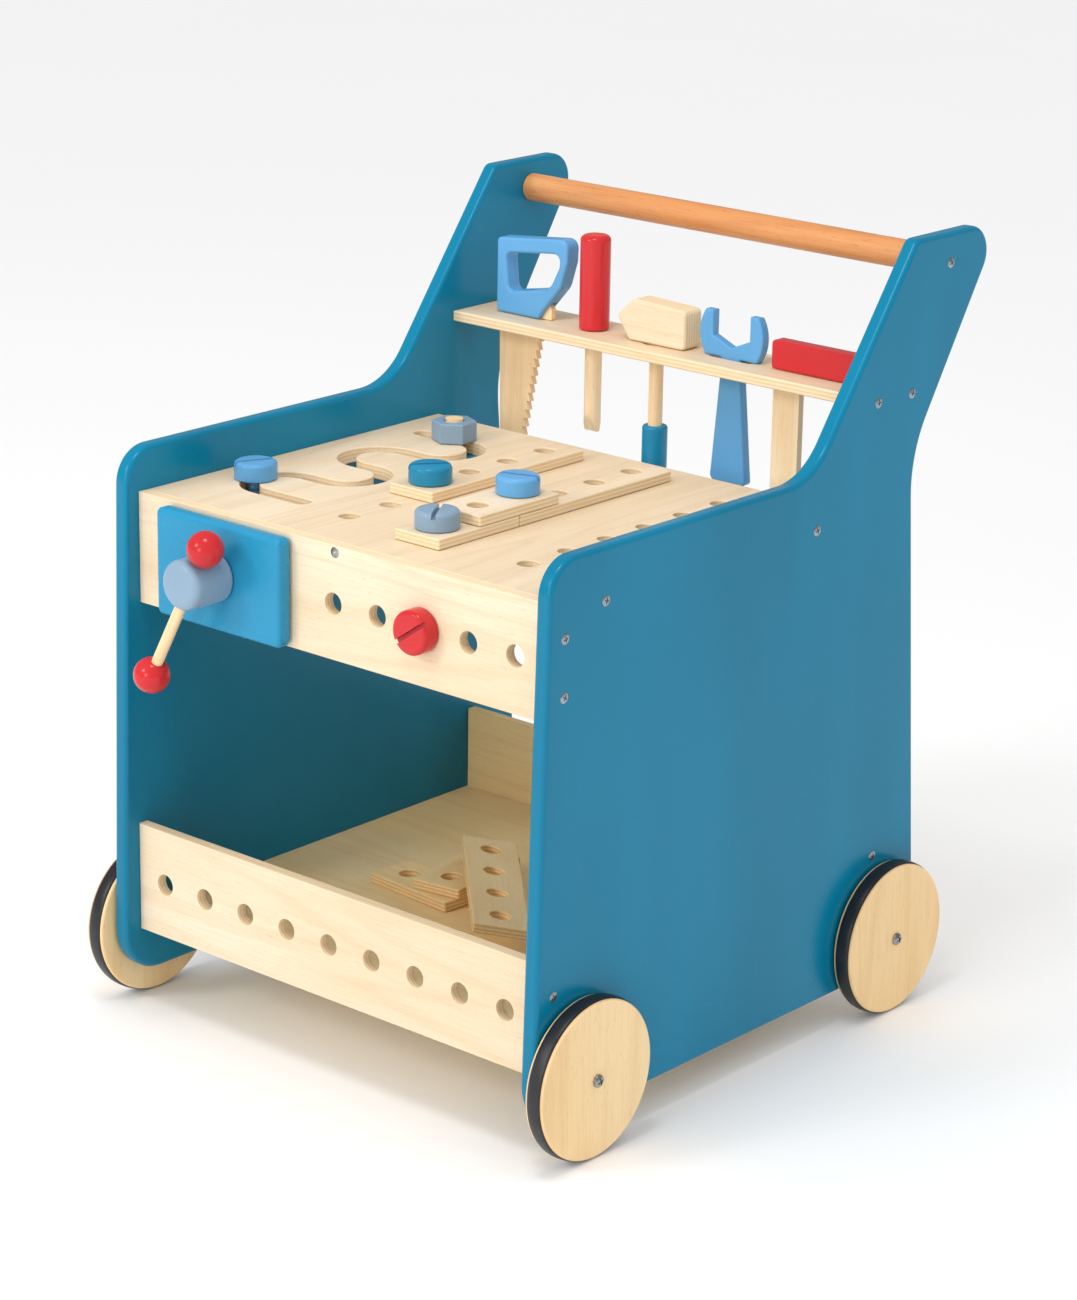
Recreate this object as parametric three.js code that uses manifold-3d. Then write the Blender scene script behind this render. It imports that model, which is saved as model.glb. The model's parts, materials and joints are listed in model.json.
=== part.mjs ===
// A toy tool bench in plywood and beech: two painted side panels on four wheels, boards between
// them, a vise, a rack of five tools, and bolts and strips to build with.
// Millimetres, +Z up, the front of the bench faces -Y. The origin is on the floor below its middle.

import * as THREE from "three";
import { mergeVertices } from "three/addons/utils/BufferGeometryUtils.js";
import Module from "manifold-3d";

const wasm = await Module();
wasm.setup();

// ---- Driving dimensions ----

const clearance = 0.3;                 // between pieces that touch
const slip = 1.0;                      // radial play of a pin that turns or slides in a hole

// The bench
const innerWidth = 372;                // between the side panels
const panelThickness = 12;
const panelBottom = 24.5;
const counterHeight = 412;             // top of the panels beside the work surface
const wingHeight = 148;                // how far the panels rise above it at the handle
const panelWaist = 382;                // y of the panels' narrowest rear edge
const counterFront = 0;                // y of the panels' front edge at the counter
const throatDepth = 114.2;             // from the waist forward to where the panels start to rise
const frontLean = 0.024;               // the edges' slope, mm per mm of height
const rearLean = 0.0823;
const wingLean = 0.63;                 // slope of the upper rear edge
const throatLean = 0.735;              // slope of the upper front edge
const panelArris = 3;                  // rounding of the panels' edges

// Boards
const boardThickness = 8;
const topThickness = 10;
const topDrop = 31;                    // from the counter down to the work surface
const topFront = 18.9;
const topInset = 67.5;                 // from the waist forward to the work surface's rear edge
const apronHeight = 79.5;
const railBottom = 59.2;
const railHeight = 80;
const frontRailY = 5.7;
const rearRailInset = 30;              // from the waist forward to the rear rail
const shelfTop = 76;
const rackRise = 37;                   // from the counter up to the rack
const rackInset = 51;                  // from the waist forward to the rack
const rackDepth = 56;

// Holes and strips share one grid
const pitch = 40;
const firstHole = 68;                  // y of the front row of holes in the work surface
const holeMargin = 15;                 // least distance from a hole's middle to a board's rear edge
const stripWidth = 40;
const stripThickness = 7.5;

// Track in the work surface
const trackFirstRow = 71;              // y of its front row
const trackMargin = 49.5;              // from its rear row to the work surface's rear edge
const trackRows = 5;
const trackInset = 57.2;               // from the left panel to the centres of the left turns
const trackStagger = 15.3;             // from there to the centres of the right turns
const trackFrontRun = 40.8;            // and to the front row's open end
const trackBackRun = 26.2;             // and back to the rear row's closed end

// Wheels and handle
const tyreRadius = 56.2;
const tyreDepth = 5;
const wheelThickness = 15;
const tyreWidth = 10.6;
const wheelFrontY = 35.8;
const wheelRearInset = 15;             // from the waist forward to the rear axles
const washerRadius = 8.5;
const washerThickness = 1.2;
const axleRadius = 2.5;
const axleBite = 9;                    // depth of the axle screw in the panel
const handleRadius = 10.25;
const handleDrop = 21.5;               // from the panels' top down to its axis
const handleOffset = 4.34;             // how far it sits behind the wing's middle

// Vise
const viseInset = 90;                  // from the left panel to the spindle
const jawWidth = 118;
const jawHeight = 76;
const jawThickness = 12.5;
const jawDrop = 2;                     // from the work surface down to the jaw's top
const jawOpening = 1;                  // gap between the jaw and the apron at rest
const spindleRadius = 6.4;
const spindleDrop = 38.5;              // from the work surface down to the spindle
const spindleRear = 62;
const knobRadius = 17.5;
const knobLength = 35.3;
const tommyRadius = 4;
const tommyLength = 98;
const tommyTilt = 28.3;                // degrees from upright
const tommyMiddle = -27.1;             // how far its middle sits from the spindle's axis
const ballRadius = 12.75;
const guideRadius = 5;
const guideSpread = 40;
const guideRear = 52;
const nutBlockDepth = 16;
const nutBlockReach = 22;              // from the spindle to the block's edges

// Bolts
const headRadius = 15.25;
const headHeight = 13;
const shankRadius = 6.5;
const slotWidth = 3;
const slotDepth = 4;
const nutAcrossFlats = 29;
const nutHeight = 15;
const boltLength = 32;                 // shanks, from the head's seat to the tip
const bridgeBoltLength = 40;
const trackBoltLength = 36;

// Tools
const socketDepth = 20;                // of a dowel in a tool's handle or head
const sawInset = 24;                   // from the left panel to the blade's straight back edge
const sawHandleDepth = 14;
const sawBladeThickness = 5;
const sawBladeReach = 105.3;           // from the rack down to its tip
const sawHeel = 42;                    // blade widths at the rack and at its tip
const sawToe = 23;
const sawTenonHeight = 12.7;
const screwdriverInset = 114;          // from the left panel
const screwdriverRadius = 11.2;
const screwdriverLength = 69.7;
const screwdriverShaftRadius = 6.3;
const screwdriverReach = 68;           // from the rack's underside down to its tip
const hammerX = -12.5;
const hammerDepth = 20;
const hammerShaftRadius = 5.2;
const hammerGripRadius = 9.35;
const hammerGripLength = 50;
const hammerReach = 103;               // from the rack's underside down to the grip's end
const wrenchInset = 128.7;             // from the right panel
const wrenchHead = 28.5;
const wrenchHeadRise = 16.7;           // from the rack up to the head's centre
const wrenchReach = 91.3;              // and down to the handle's end
const wrenchMouth = 16.3;              // half widths of the mouth, the neck and the handle's end
const wrenchNeck = 9;
const wrenchEnd = 17.5;
const wrenchThickness = 8;
const squareInset = 91;                // from the right panel to its outer corner
const squareBladeWidth = 23.5;
const squareBladeLength = 107;
const squareBladeThickness = 5.7;
const squareStockLength = 76;
const squareStockWidth = 20.7;
const squareStockThickness = 12.5;
const squareMortise = 5;               // wood left in the stock above the blade

// ---- Values worked out from them ----

const boardLength = innerWidth - 2 * clearance;
const span = boardLength / 2;
const panelInner = innerWidth / 2;
const panelOuter = panelInner + panelThickness;
const panelHeight = counterHeight + wingHeight;
const topSurface = counterHeight - topDrop;
const topBottom = topSurface - topThickness;
const topBack = panelWaist - topInset;
const apronBottom = topSurface - apronHeight;
const apronMiddle = topSurface - apronHeight / 2 - 0.75;
const apronBack = topFront - clearance;
const apronFront = apronBack - boardThickness;
const rearRailY = panelWaist - rearRailInset;
const rackBottom = counterHeight + rackRise;
const rackTop = rackBottom + boardThickness;
const rackFront = panelWaist - rackInset;
const rackLine = rackFront + rackDepth / 2 - 1;      // y of the tools' common centre line
const toolRest = rackTop + clearance;
const wheelRearY = panelWaist - wheelRearInset;

const holeRadius = shankRadius + slip;
const trackHalfWidth = shankRadius + slip / 2;
const trackRowGap = (topBack - trackMargin - trackFirstRow) / (trackRows - 1);
const trackLeftTurn = trackInset - panelInner;       // x of the turns' centres
const trackRightTurn = trackLeftTurn + trackStagger;
const trackFrontEnd = trackLeftTurn + trackFrontRun;
const trackBackEnd = trackLeftTurn - trackBackRun;

const viseX = viseInset - panelInner;
const spindleZ = topSurface - spindleDrop;
const jawTop = topSurface - jawDrop;
const jawBottom = jawTop - jawHeight;
const jawBack = apronFront - jawOpening;
const jawFront = jawBack - jawThickness;
const knobBack = jawFront - clearance;
const knobFront = knobBack - knobLength;

const stripLow = topSurface + clearance;
const stripHigh = stripLow + stripThickness + clearance;
const toRadians = Math.PI / 180;

const panelFrontAt = z => counterFront - frontLean * (counterHeight - z);
const panelBackAt = z => panelWaist + rearLean * (counterHeight - z);
const waistHeight = counterHeight - 4;               // where the rear edge turns out to the handle
const wingBackAt = z => panelBackAt(waistHeight) + wingLean * (z - waistHeight);
const throatAt = z => panelWaist - throatDepth + throatLean * (z - counterHeight);

// ---- Materials ----

function paint(color, roughness = 0.4) {
  return new THREE.MeshStandardMaterial({ color, roughness, metalness: 0 });
}

const blue = () => paint(0x297ca5);
const lightBlue = () => paint(0x5f96d2);
const greyBlue = () => paint(0x7d96b9);
const teal = () => paint(0x1e7da5);
const red = () => paint(0xd72d37);
const ply = () => paint(0xf0dcb8, 0.6);
const beech = () => paint(0xe9b27c, 0.55);
const rubber = () => paint(0x1c1c1e, 0.5);
const steel = () => new THREE.MeshStandardMaterial({ color: 0xc8c8c4, roughness: 0.3, metalness: 1 });

// ---- Booleans ----

function solid(geometry) {
  const plain = geometry.clone();
  for (const name of ["normal", "uv"]) plain.deleteAttribute(name);
  const merged = mergeVertices(plain, 1e-4);
  const vertProperties = new Float32Array(merged.attributes.position.array);
  const triVerts = new Uint32Array(merged.index.array);
  return new wasm.Manifold(new wasm.Mesh({ numProp: 3, vertProperties, triVerts }));
}

function geometryOf(manifold) {
  const { vertProperties, triVerts } = manifold.getMesh();
  const geometry = new THREE.BufferGeometry();
  geometry.setAttribute("position", new THREE.BufferAttribute(vertProperties, 3));
  geometry.setIndex(new THREE.BufferAttribute(triVerts, 1));
  geometry.computeVertexNormals();
  return geometry;
}

function cut(geometry, ...tools) {
  return geometryOf(tools.reduce((body, tool) => body.subtract(solid(tool)), solid(geometry)));
}

// ---- Outlines ----

// A closed outline through corners [u, v, radius], with each corner rounded by an arc of its radius.
function roundedOutline(corners, OutlineClass = THREE.Shape) {
  const outline = new OutlineClass();
  corners.forEach(([u, v, radius], i) => {
    const corner = new THREE.Vector2(u, v);
    const before = corners[(i + corners.length - 1) % corners.length];
    const after = corners[(i + 1) % corners.length];
    const back = new THREE.Vector2(before[0], before[1]).sub(corner).normalize();
    const ahead = new THREE.Vector2(after[0], after[1]).sub(corner).normalize();
    if (!radius) {
      if (i === 0) outline.moveTo(u, v);
      else outline.lineTo(u, v);
      return;
    }
    const half = Math.acos(back.dot(ahead)) / 2;
    const reach = radius / Math.tan(half);
    const centre = back.clone().add(ahead).normalize().multiplyScalar(radius / Math.sin(half)).add(corner);
    const start = back.clone().multiplyScalar(reach).add(corner).sub(centre);
    const end = ahead.clone().multiplyScalar(reach).add(corner).sub(centre);
    const clockwise = back.cross(ahead) > 0;
    if (i === 0) outline.moveTo(centre.x + start.x, centre.y + start.y);
    outline.absarc(centre.x, centre.y, radius, start.angle(), end.angle(), clockwise);
  });
  outline.closePath();
  return outline;
}

function rectangle(u0, u1, v0, v1, radius = 0) {
  return roundedOutline([[u0, v0, radius], [u1, v0, radius], [u1, v1, radius], [u0, v1, radius]]);
}

function circle(u, v, radius) {
  return new THREE.Path().absarc(u, v, radius, 0, 2 * Math.PI, true);
}

// The winding slot: straight rows across the bench, joined by half turns at alternating ends.
function trackOutline(halfWidth) {
  const row = index => trackFirstRow + index * trackRowGap;
  const turn = trackRowGap / 2;
  const slot = new THREE.Path();
  const quarter = Math.PI / 2;
  slot.absarc(trackFrontEnd, row(0), halfWidth, -quarter, quarter, false);
  for (let index = 0; index < trackRows - 1; index += 1) {
    const middle = row(index) + turn;
    if (index % 2 === 0) slot.absarc(trackLeftTurn, middle, turn - halfWidth, -quarter, quarter, true);
    else slot.absarc(trackRightTurn, middle, turn + halfWidth, -quarter, quarter, false);
  }
  slot.absarc(trackBackEnd, row(trackRows - 1), halfWidth, quarter, 3 * quarter, false);
  for (let index = trackRows - 2; index >= 0; index -= 1) {
    const middle = row(index) + turn;
    if (index % 2 === 0) slot.absarc(trackLeftTurn, middle, turn + halfWidth, quarter, 3 * quarter, false);
    else slot.absarc(trackRightTurn, middle, turn - halfWidth, quarter, -quarter, true);
  }
  slot.closePath();
  return slot;
}

// ---- Solids ----

// Extrudes an outline drawn in X and Y from the height low, rounding both rims.
function slab(outline, low, thickness, { round = 0, holes = [], arcSteps = 5, rimSteps = 1 } = {}) {
  outline.holes.push(...holes);
  const geometry = new THREE.ExtrudeGeometry(outline, {
    depth: thickness - 2 * round,
    bevelEnabled: round > 0,
    bevelThickness: round,
    bevelSize: round,
    bevelOffset: -round,
    bevelSegments: rimSteps,
    curveSegments: arcSteps,
  });
  return geometry.translate(0, 0, low + round);
}

// Stands a slab up so that its outline's first axis is X, its second Z, and its thickness runs to -Y.
function upright(geometry, backY) {
  return geometry.rotateX(Math.PI / 2).translate(0, backY, 0);
}

// A solid of revolution about Z from points [radius, height], closed on the axis.
function turned(profile, steps = 18) {
  const points = profile.map(([radius, height]) => new THREE.Vector2(radius, height));
  return new THREE.LatheGeometry(points, steps).rotateX(Math.PI / 2);
}

function rod(radius, from, to, steps = 14) {
  return turned([[0, from], [radius, from], [radius, to], [0, to]], steps);
}

// Turns a solid of revolution so that its axis, +Z, points along -Y.
function towardFront(geometry, x, y, z) {
  return geometry.rotateX(Math.PI / 2).translate(x, y, z);
}

// Turns it so that its axis points away from the bench on the given side, -1 left and 1 right.
function towardSide(geometry, side, x, y, z) {
  return geometry.rotateY(side * Math.PI / 2).translate(side * x, y, z);
}

// ---- Assembly ----

const bench = new THREE.Group();

function add(name, geometry, material, parent = bench) {
  const mesh = new THREE.Mesh(geometry, material);
  mesh.name = name;
  parent.add(mesh);
  return mesh;
}

const sides = [["left", -1], ["right", 1]];
const axles = [["front", wheelFrontY], ["rear", wheelRearY]];

// Side panels: one outline in Y and Z, with blind bores for the axle screws.
function panelOutline() {
  return roundedOutline([
    [panelFrontAt(panelBottom), panelBottom, 34],
    [panelBackAt(panelBottom), panelBottom, 34],
    [panelBackAt(waistHeight), waistHeight, 90],
    [wingBackAt(panelHeight), panelHeight, 20],
    [throatAt(panelHeight), panelHeight, 8],
    [throatAt(counterHeight), counterHeight, 55],
    [counterFront, counterHeight, 26],
  ]);
}

const outlineToPanel = new THREE.Matrix4().makeBasis(
  new THREE.Vector3(0, 1, 0), new THREE.Vector3(0, 0, 1), new THREE.Vector3(1, 0, 0));

for (const [name, side] of sides) {
  const low = side < 0 ? -panelOuter : panelInner;
  const panel = slab(panelOutline(), low, panelThickness, { round: panelArris, rimSteps: 2, arcSteps: 3 });
  panel.applyMatrix4(outlineToPanel);
  const bores = axles.map(([, y]) => towardSide(
    rod(axleRadius + clearance, panelOuter - axleBite - clearance, panelOuter + panelThickness, 12),
    side, 0, y, tyreRadius));
  add(`${name}_side_panel`, cut(panel, ...bores), blue());
}

// Boards between the panels.
const holesEachSide = Math.floor((span - pitch / 2) / pitch);
const topRows = 1 + Math.floor((topBack - holeMargin - firstHole) / pitch);
const holeY = row => firstHole + row * pitch;

function railHoles(count, first, height) {
  return Array.from({ length: count }, (_, i) => circle(first + i * pitch, height, holeRadius));
}

const topHoles = [-pitch, pitch, 3 * pitch].flatMap(x =>
  Array.from({ length: topRows }, (_, row) => circle(x, holeY(row), holeRadius)));
add("table_top", slab(rectangle(-span, span, topFront, topBack), topBottom, topThickness,
  { holes: [trackOutline(trackHalfWidth), ...topHoles] }), ply());

const apronHoles = [
  ...railHoles(holesEachSide + 1, 0, apronMiddle),
  circle(viseX, spindleZ, spindleRadius + slip),
  circle(viseX - guideSpread, spindleZ, guideRadius + clearance),
  circle(viseX + guideSpread, spindleZ, guideRadius + clearance),
];
add("front_apron", upright(slab(rectangle(-span, span, apronBottom, topSurface), 0, boardThickness,
  { holes: apronHoles }), apronBack), ply());

const railMiddle = railBottom + railHeight / 2;
const railHolesAcross = railHoles(2 * holesEachSide + 1, -holesEachSide * pitch, railMiddle);
const railOutline = () => rectangle(-span, span, railBottom, railBottom + railHeight);
add("front_rail", upright(slab(railOutline(), 0, boardThickness, { holes: railHolesAcross }),
  frontRailY + boardThickness), ply());
add("rear_rail", upright(slab(railOutline(), 0, boardThickness), rearRailY + boardThickness), ply());

const shelfFront = frontRailY + boardThickness + clearance;
add("bottom_shelf", slab(rectangle(-span, span, shelfFront, rearRailY - clearance),
  shelfTop - boardThickness, boardThickness), ply());

const handleZ = panelHeight - handleDrop;
const handleY = (throatAt(handleZ) + wingBackAt(handleZ)) / 2 + handleOffset;
add("handle_bar", towardSide(rod(handleRadius, -span, span, 24), 1, 0, handleY, handleZ), beech());

// Wheels: a ply disc with a groove, a rubber tyre in it, a washer and a dome-headed axle screw.
const wheelInner = panelOuter + clearance + washerThickness + clearance;
const discRadius = tyreRadius - 1.2;
const grooveRadius = tyreRadius - tyreDepth;
const wheelSides = 28;
const rimRound = 1.4;

function wheelDisc() {
  const half = wheelThickness / 2;
  const groove = tyreWidth / 2 + clearance;
  const bore = axleRadius + slip / 2;
  return turned([
    [bore, -half], [discRadius - rimRound, -half], [discRadius, rimRound - half], [discRadius, -groove],
    [grooveRadius, -groove], [grooveRadius, groove], [discRadius, groove], [discRadius, half - rimRound],
    [discRadius - rimRound, half], [bore, half], [bore, -half],
  ], wheelSides);
}

function tyre() {
  const half = tyreWidth / 2;
  const seat = grooveRadius + clearance;
  return turned([
    [seat, -half], [discRadius, -half], [tyreRadius, -half / 2], [tyreRadius, half / 2],
    [discRadius, half], [seat, half], [seat, -half],
  ], wheelSides);
}

function washer() {
  const half = washerThickness / 2;
  const bore = axleRadius + clearance;
  return turned([
    [bore, -half], [washerRadius, -half], [washerRadius, half], [bore, half], [bore, -half],
  ], 16);
}

function axleScrew() {
  const tip = panelOuter - axleBite;
  const seat = wheelInner + wheelThickness + clearance;
  return turned([
    [0, tip], [axleRadius, tip], [axleRadius, seat], [4.5, seat],
    [4.3, seat + 1.2], [3.2, seat + 2.4], [0, seat + 3],
  ], 12);
}

for (const [end, y] of axles) {
  for (const [name, side] of sides) {
    const corner = `${end}_${name}`;
    const disc = wheelInner + wheelThickness / 2;
    add(`wheel_disc_${corner}`, towardSide(wheelDisc(), side, disc, y, tyreRadius), ply());
    add(`tyre_${corner}`, towardSide(tyre(), side, disc, y, tyreRadius), rubber());
    add(`washer_${corner}`, towardSide(washer(), side, panelOuter + clearance + washerThickness / 2,
      y, tyreRadius), steel());
    add(`axle_screw_${corner}`, towardSide(axleScrew(), side, 0, y, tyreRadius), steel());
  }
}

// Vise: a jaw on two guide pins, pulled in by a wooden spindle through a nut block.
const guideXs = [viseX - guideSpread, viseX + guideSpread];
const guideSeat = 7;

const jaw = upright(slab(
  roundedOutline([
    [viseX - jawWidth / 2, jawBottom, 4], [viseX + jawWidth / 2, jawBottom, 4],
    [viseX + jawWidth / 2, jawTop, 4], [viseX - jawWidth / 2, jawTop, 4],
  ]),
  0, jawThickness, { round: 3, rimSteps: 2 }), jawBack);
add("vise_jaw", cut(jaw,
  towardFront(rod(spindleRadius + slip, -jawBack - 1, -jawFront + 1), viseX, 0, spindleZ),
  ...guideXs.map(x => towardFront(
    rod(guideRadius + clearance, -jawBack - 1, guideSeat - jawBack), x, 0, spindleZ)),
), blue());
sides.forEach(([name], i) => {
  add(`vise_guide_${name}`, towardFront(rod(guideRadius, -guideRear, guideSeat - jawBack - clearance),
    guideXs[i], 0, spindleZ), beech());
});

const spindleSeat = knobFront + knobLength / 2;
add("vise_spindle", towardFront(rod(spindleRadius, -spindleRear, -spindleSeat - clearance),
  viseX, 0, spindleZ), beech());

// The tommy bar's frame: its own +Z runs along the bar and its origin is on the spindle's axis.
const tommyY = knobFront + knobRadius * 0.7;
const tommyFrame = new THREE.Matrix4().makeRotationY(tommyTilt * toRadians);
tommyFrame.setPosition(viseX, tommyY, spindleZ);
const tommyLow = tommyMiddle - tommyLength / 2;
const tommyHigh = tommyMiddle + tommyLength / 2;
const ballSeat = 5;

const knob = towardFront(turned([
  [0, -knobBack], [knobRadius - 3, -knobBack], [knobRadius, -knobBack + 3], [knobRadius, -knobFront - 5],
  [knobRadius - 1.6, -knobFront - 1.8], [knobRadius - 5, -knobFront], [0, -knobFront],
], 24), viseX, 0, spindleZ);
add("vise_knob", cut(knob,
  towardFront(rod(spindleRadius + clearance, -knobBack - 1, -spindleSeat), viseX, 0, spindleZ),
  rod(tommyRadius + clearance, -2 * knobRadius, 2 * knobRadius).applyMatrix4(tommyFrame),
), greyBlue());

add("vise_handle", rod(tommyRadius, tommyLow, tommyHigh, 16).applyMatrix4(tommyFrame), beech());
for (const [name, end, way] of [["lower", tommyLow, 1], ["upper", tommyHigh, -1]]) {
  const middle = end - way * (ballRadius - ballSeat);
  const ball = new THREE.SphereGeometry(ballRadius, 14, 10).rotateX(Math.PI / 2).translate(0, 0, middle);
  const socketFrom = Math.min(end - way * clearance, middle + way * 2 * ballRadius);
  const socketTo = Math.max(end - way * clearance, middle + way * 2 * ballRadius);
  const socket = rod(tommyRadius + clearance, socketFrom, socketTo, 16);
  add(`vise_ball_${name}`, cut(ball, socket).applyMatrix4(tommyFrame), red());
}

const nutFront = apronBack + clearance;
add("vise_nut", upright(slab(
  rectangle(viseX - nutBlockReach, viseX + nutBlockReach,
    spindleZ - nutBlockReach, spindleZ + nutBlockReach, 2),
  0, nutBlockDepth, { holes: [circle(viseX, spindleZ, spindleRadius + slip)] },
), nutFront + nutBlockDepth), beech());

// Bolts: a round head with a screwdriver slot and a plain shank, drawn with the head's seat at z = 0.
function bolt(shankLength, slotTurn = 0) {
  const body = turned([
    [0, -shankLength], [shankRadius - 1, -shankLength], [shankRadius, 1 - shankLength], [shankRadius, 0],
    [headRadius - 1, 0], [headRadius, 1], [headRadius, headHeight - 3],
    [headRadius - 0.9, headHeight - 0.9], [headRadius - 3, headHeight], [0, headHeight],
  ]);
  const slot = new THREE.BoxGeometry(3 * headRadius, slotWidth, 2 * slotDepth);
  slot.rotateZ(slotTurn * toRadians).translate(0, 0, headHeight);
  return cut(body, slot);
}

// A hexagon with a bore, drawn on the floor; turn is the angle of one flat's normal.
function hexagon(acrossFlats, height, bore, turn) {
  const outline = new THREE.Shape();
  const reach = acrossFlats / Math.sqrt(3);
  for (let i = 0; i < 6; i += 1) {
    const angle = (turn + 30 + i * 60) * toRadians;
    if (i === 0) outline.moveTo(reach * Math.cos(angle), reach * Math.sin(angle));
    else outline.lineTo(reach * Math.cos(angle), reach * Math.sin(angle));
  }
  outline.closePath();
  return slab(outline, 0, height, { holes: [circle(0, 0, bore)], arcSteps: 8 });
}

add("teal_bolt", bolt(boltLength, 52).translate(-pitch, holeY(2), stripHigh), teal());
add("grey_bolt", bolt(boltLength, -58).translate(pitch, holeY(0), stripHigh), greyBlue());
add("light_blue_bolt", bolt(bridgeBoltLength, 20).translate(pitch, holeY(2),
  stripHigh + stripThickness + clearance), lightBlue());
add("red_bolt", towardFront(bolt(boltLength, 35), 2 * pitch, apronFront - clearance, apronMiddle), red());

// The bolt that runs in the track, with its nut hidden below the table.
const trackAngle = 190 * toRadians;
const turnRadius = trackRowGap / 2;
const trackBoltX = trackLeftTurn + turnRadius * Math.cos(trackAngle);
const trackBoltY = trackFirstRow + turnRadius + turnRadius * Math.sin(trackAngle);
add("track_bolt", bolt(trackBoltLength, 65).translate(trackBoltX, trackBoltY, stripLow), lightBlue());
const lowNut = topBottom - clearance - nutHeight;
add("track_bolt_nut", hexagon(nutAcrossFlats, nutHeight, shankRadius + clearance, 10)
  .translate(trackBoltX, trackBoltY, lowNut), red());

// A stud whose head is below the table, with a nut on top of it.
const studX = trackBackEnd + 30.6;
const studY = trackFirstRow + (trackRows - 1) * trackRowGap;
const studTop = stripLow + nutHeight + 1.5;
const stud = turned([
  [0, -headHeight], [headRadius - 3, -headHeight], [headRadius, 3 - headHeight], [headRadius, 0],
  [shankRadius, 0], [shankRadius, studTop - topBottom + clearance - 1],
  [shankRadius - 1, studTop - topBottom + clearance], [0, studTop - topBottom + clearance],
]);
add("track_stud", stud.translate(studX, studY, topBottom - clearance), teal());
add("hex_nut", hexagon(nutAcrossFlats, nutHeight, shankRadius + clearance, -55)
  .translate(studX, studY, stripLow), greyBlue());

// Strips: flat pieces with holes at the common pitch, drawn about their own middle, lengthwise in Y.
function strip(holeCount) {
  const half = holeCount * pitch / 2;
  const holes = Array.from({ length: holeCount }, (_, i) =>
    circle(0, pitch / 2 - half + i * pitch, holeRadius));
  return slab(rectangle(-stripWidth / 2, stripWidth / 2, -half, half, 1), 0, stripThickness, { holes });
}

add("strip_long", strip(4).translate(-pitch, (holeY(2) + holeY(5)) / 2, stripLow), ply());
add("strip_front", strip(2).translate(pitch, (holeY(0) + holeY(1)) / 2 - clearance / 2, stripLow), ply());
add("strip_rear", strip(4).translate(pitch, (holeY(2) + holeY(5)) / 2 + clearance / 2, stripLow), ply());
add("strip_bridge", strip(2).translate(pitch, (holeY(1) + holeY(2)) / 2, stripHigh), ply());

// Loose strips kept on the shelf, one lying across another and a long one leaning on both.
const shelfRest = shelfTop + clearance;
function looseStrip(name, holeCount, [x, y, z], [yaw, pitchUp, roll]) {
  const mesh = add(name, strip(holeCount), ply());
  mesh.position.set(x, y, z);
  mesh.rotation.set(pitchUp * toRadians, roll * toRadians, yaw * toRadians, "ZXY");
}
looseStrip("loose_strip_low", 2, [-57.8, 167.9, shelfRest], [85.1, 0, 0]);
looseStrip("loose_strip_middle", 2, [-41.1, 191.6, shelfRest + stripThickness + clearance], [8, 0, 0]);
looseStrip("loose_strip_long", 4, [11, 162, shelfRest + 19.9], [45, 1.2, 10]);

// ---- Tools, hanging in the rack ----

const rackSlots = [];
const corners = (points, x, z) => points.map(([u, v, radius]) => [x + u, z + v, radius]);

function rackSlot(x0, x1, thickness, radius) {
  const half = thickness / 2 + slip;
  rackSlots.push(rectangle(x0 - slip, x1 + slip, rackLine - half, rackLine + half, radius));
}

// Saw: a painted handle with a finger hole over a toothed ply blade.
const sawBack = sawInset - panelInner;
const sawHandle = roundedOutline(corners([
  [0.3, 0, 3], [41.6, 0, 2.2], [45.1, 5.7, 2], [62.8, 25.9, 14], [68.8, 45.4, 8], [69.4, 63.2, 7],
  [0.3, 55.7, 3],
], sawBack, toolRest));
const fingerHole = roundedOutline(corners([
  [12.4, 16.7, 5], [9.3, 45.1, 5], [46, 49.7, 20], [61.4, 51.3, 5], [60.7, 41.5, 6], [53.3, 27.1, 8],
  [48.2, 23.4, 4],
], sawBack, toolRest), THREE.Path);
const sawTenon = toolRest + sawTenonHeight;
const tenonBack = sawBack + 4;
const kerfWidth = 2 * sawHeel;
const kerfHeight = 2 * socketDepth;
const kerf = new THREE.BoxGeometry(kerfWidth, sawBladeThickness + 2 * clearance, kerfHeight)
  .translate(tenonBack - clearance + kerfWidth / 2, rackLine, sawTenon + clearance - kerfHeight / 2);
add("saw_handle", cut(
  upright(slab(sawHandle, 0, sawHandleDepth, { holes: [fingerHole], round: 1.5, arcSteps: 2 }),
    rackLine + sawHandleDepth / 2),
  kerf,
), lightBlue());

function sawBlade() {
  const top = rackBottom - 3;
  const tip = toolRest - sawBladeReach;
  const heel = sawBack + sawHeel;
  const toe = sawBack + sawToe;
  const shoulder = heel + 9;           // rests on the rack
  const teeth = 14;
  const outline = new THREE.Shape();
  outline.moveTo(tenonBack, sawTenon);
  outline.lineTo(tenonBack, toolRest - clearance / 2);
  outline.lineTo(sawBack, toolRest - clearance / 2);
  outline.lineTo(sawBack + 2, tip);
  for (let i = 0; i < teeth; i += 1) {
    const share = i / teeth;
    const z = THREE.MathUtils.lerp(tip, top, share);
    const x = THREE.MathUtils.lerp(toe, heel, share);
    outline.lineTo(x, z);
    outline.lineTo(x - 3.2 + (heel - toe) / teeth, z + (top - tip) / teeth);
  }
  outline.lineTo(heel, toolRest);
  outline.lineTo(shoulder, toolRest);
  outline.lineTo(shoulder, sawTenon - 4);
  outline.lineTo(shoulder - 4, sawTenon);
  outline.closePath();
  return upright(slab(outline, 0, sawBladeThickness), rackLine + sawBladeThickness / 2);
}
add("saw_blade", sawBlade(), beech());
rackSlot(sawBack - 1, sawBack + sawHeel + 1, sawBladeThickness + slip, 3);

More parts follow.
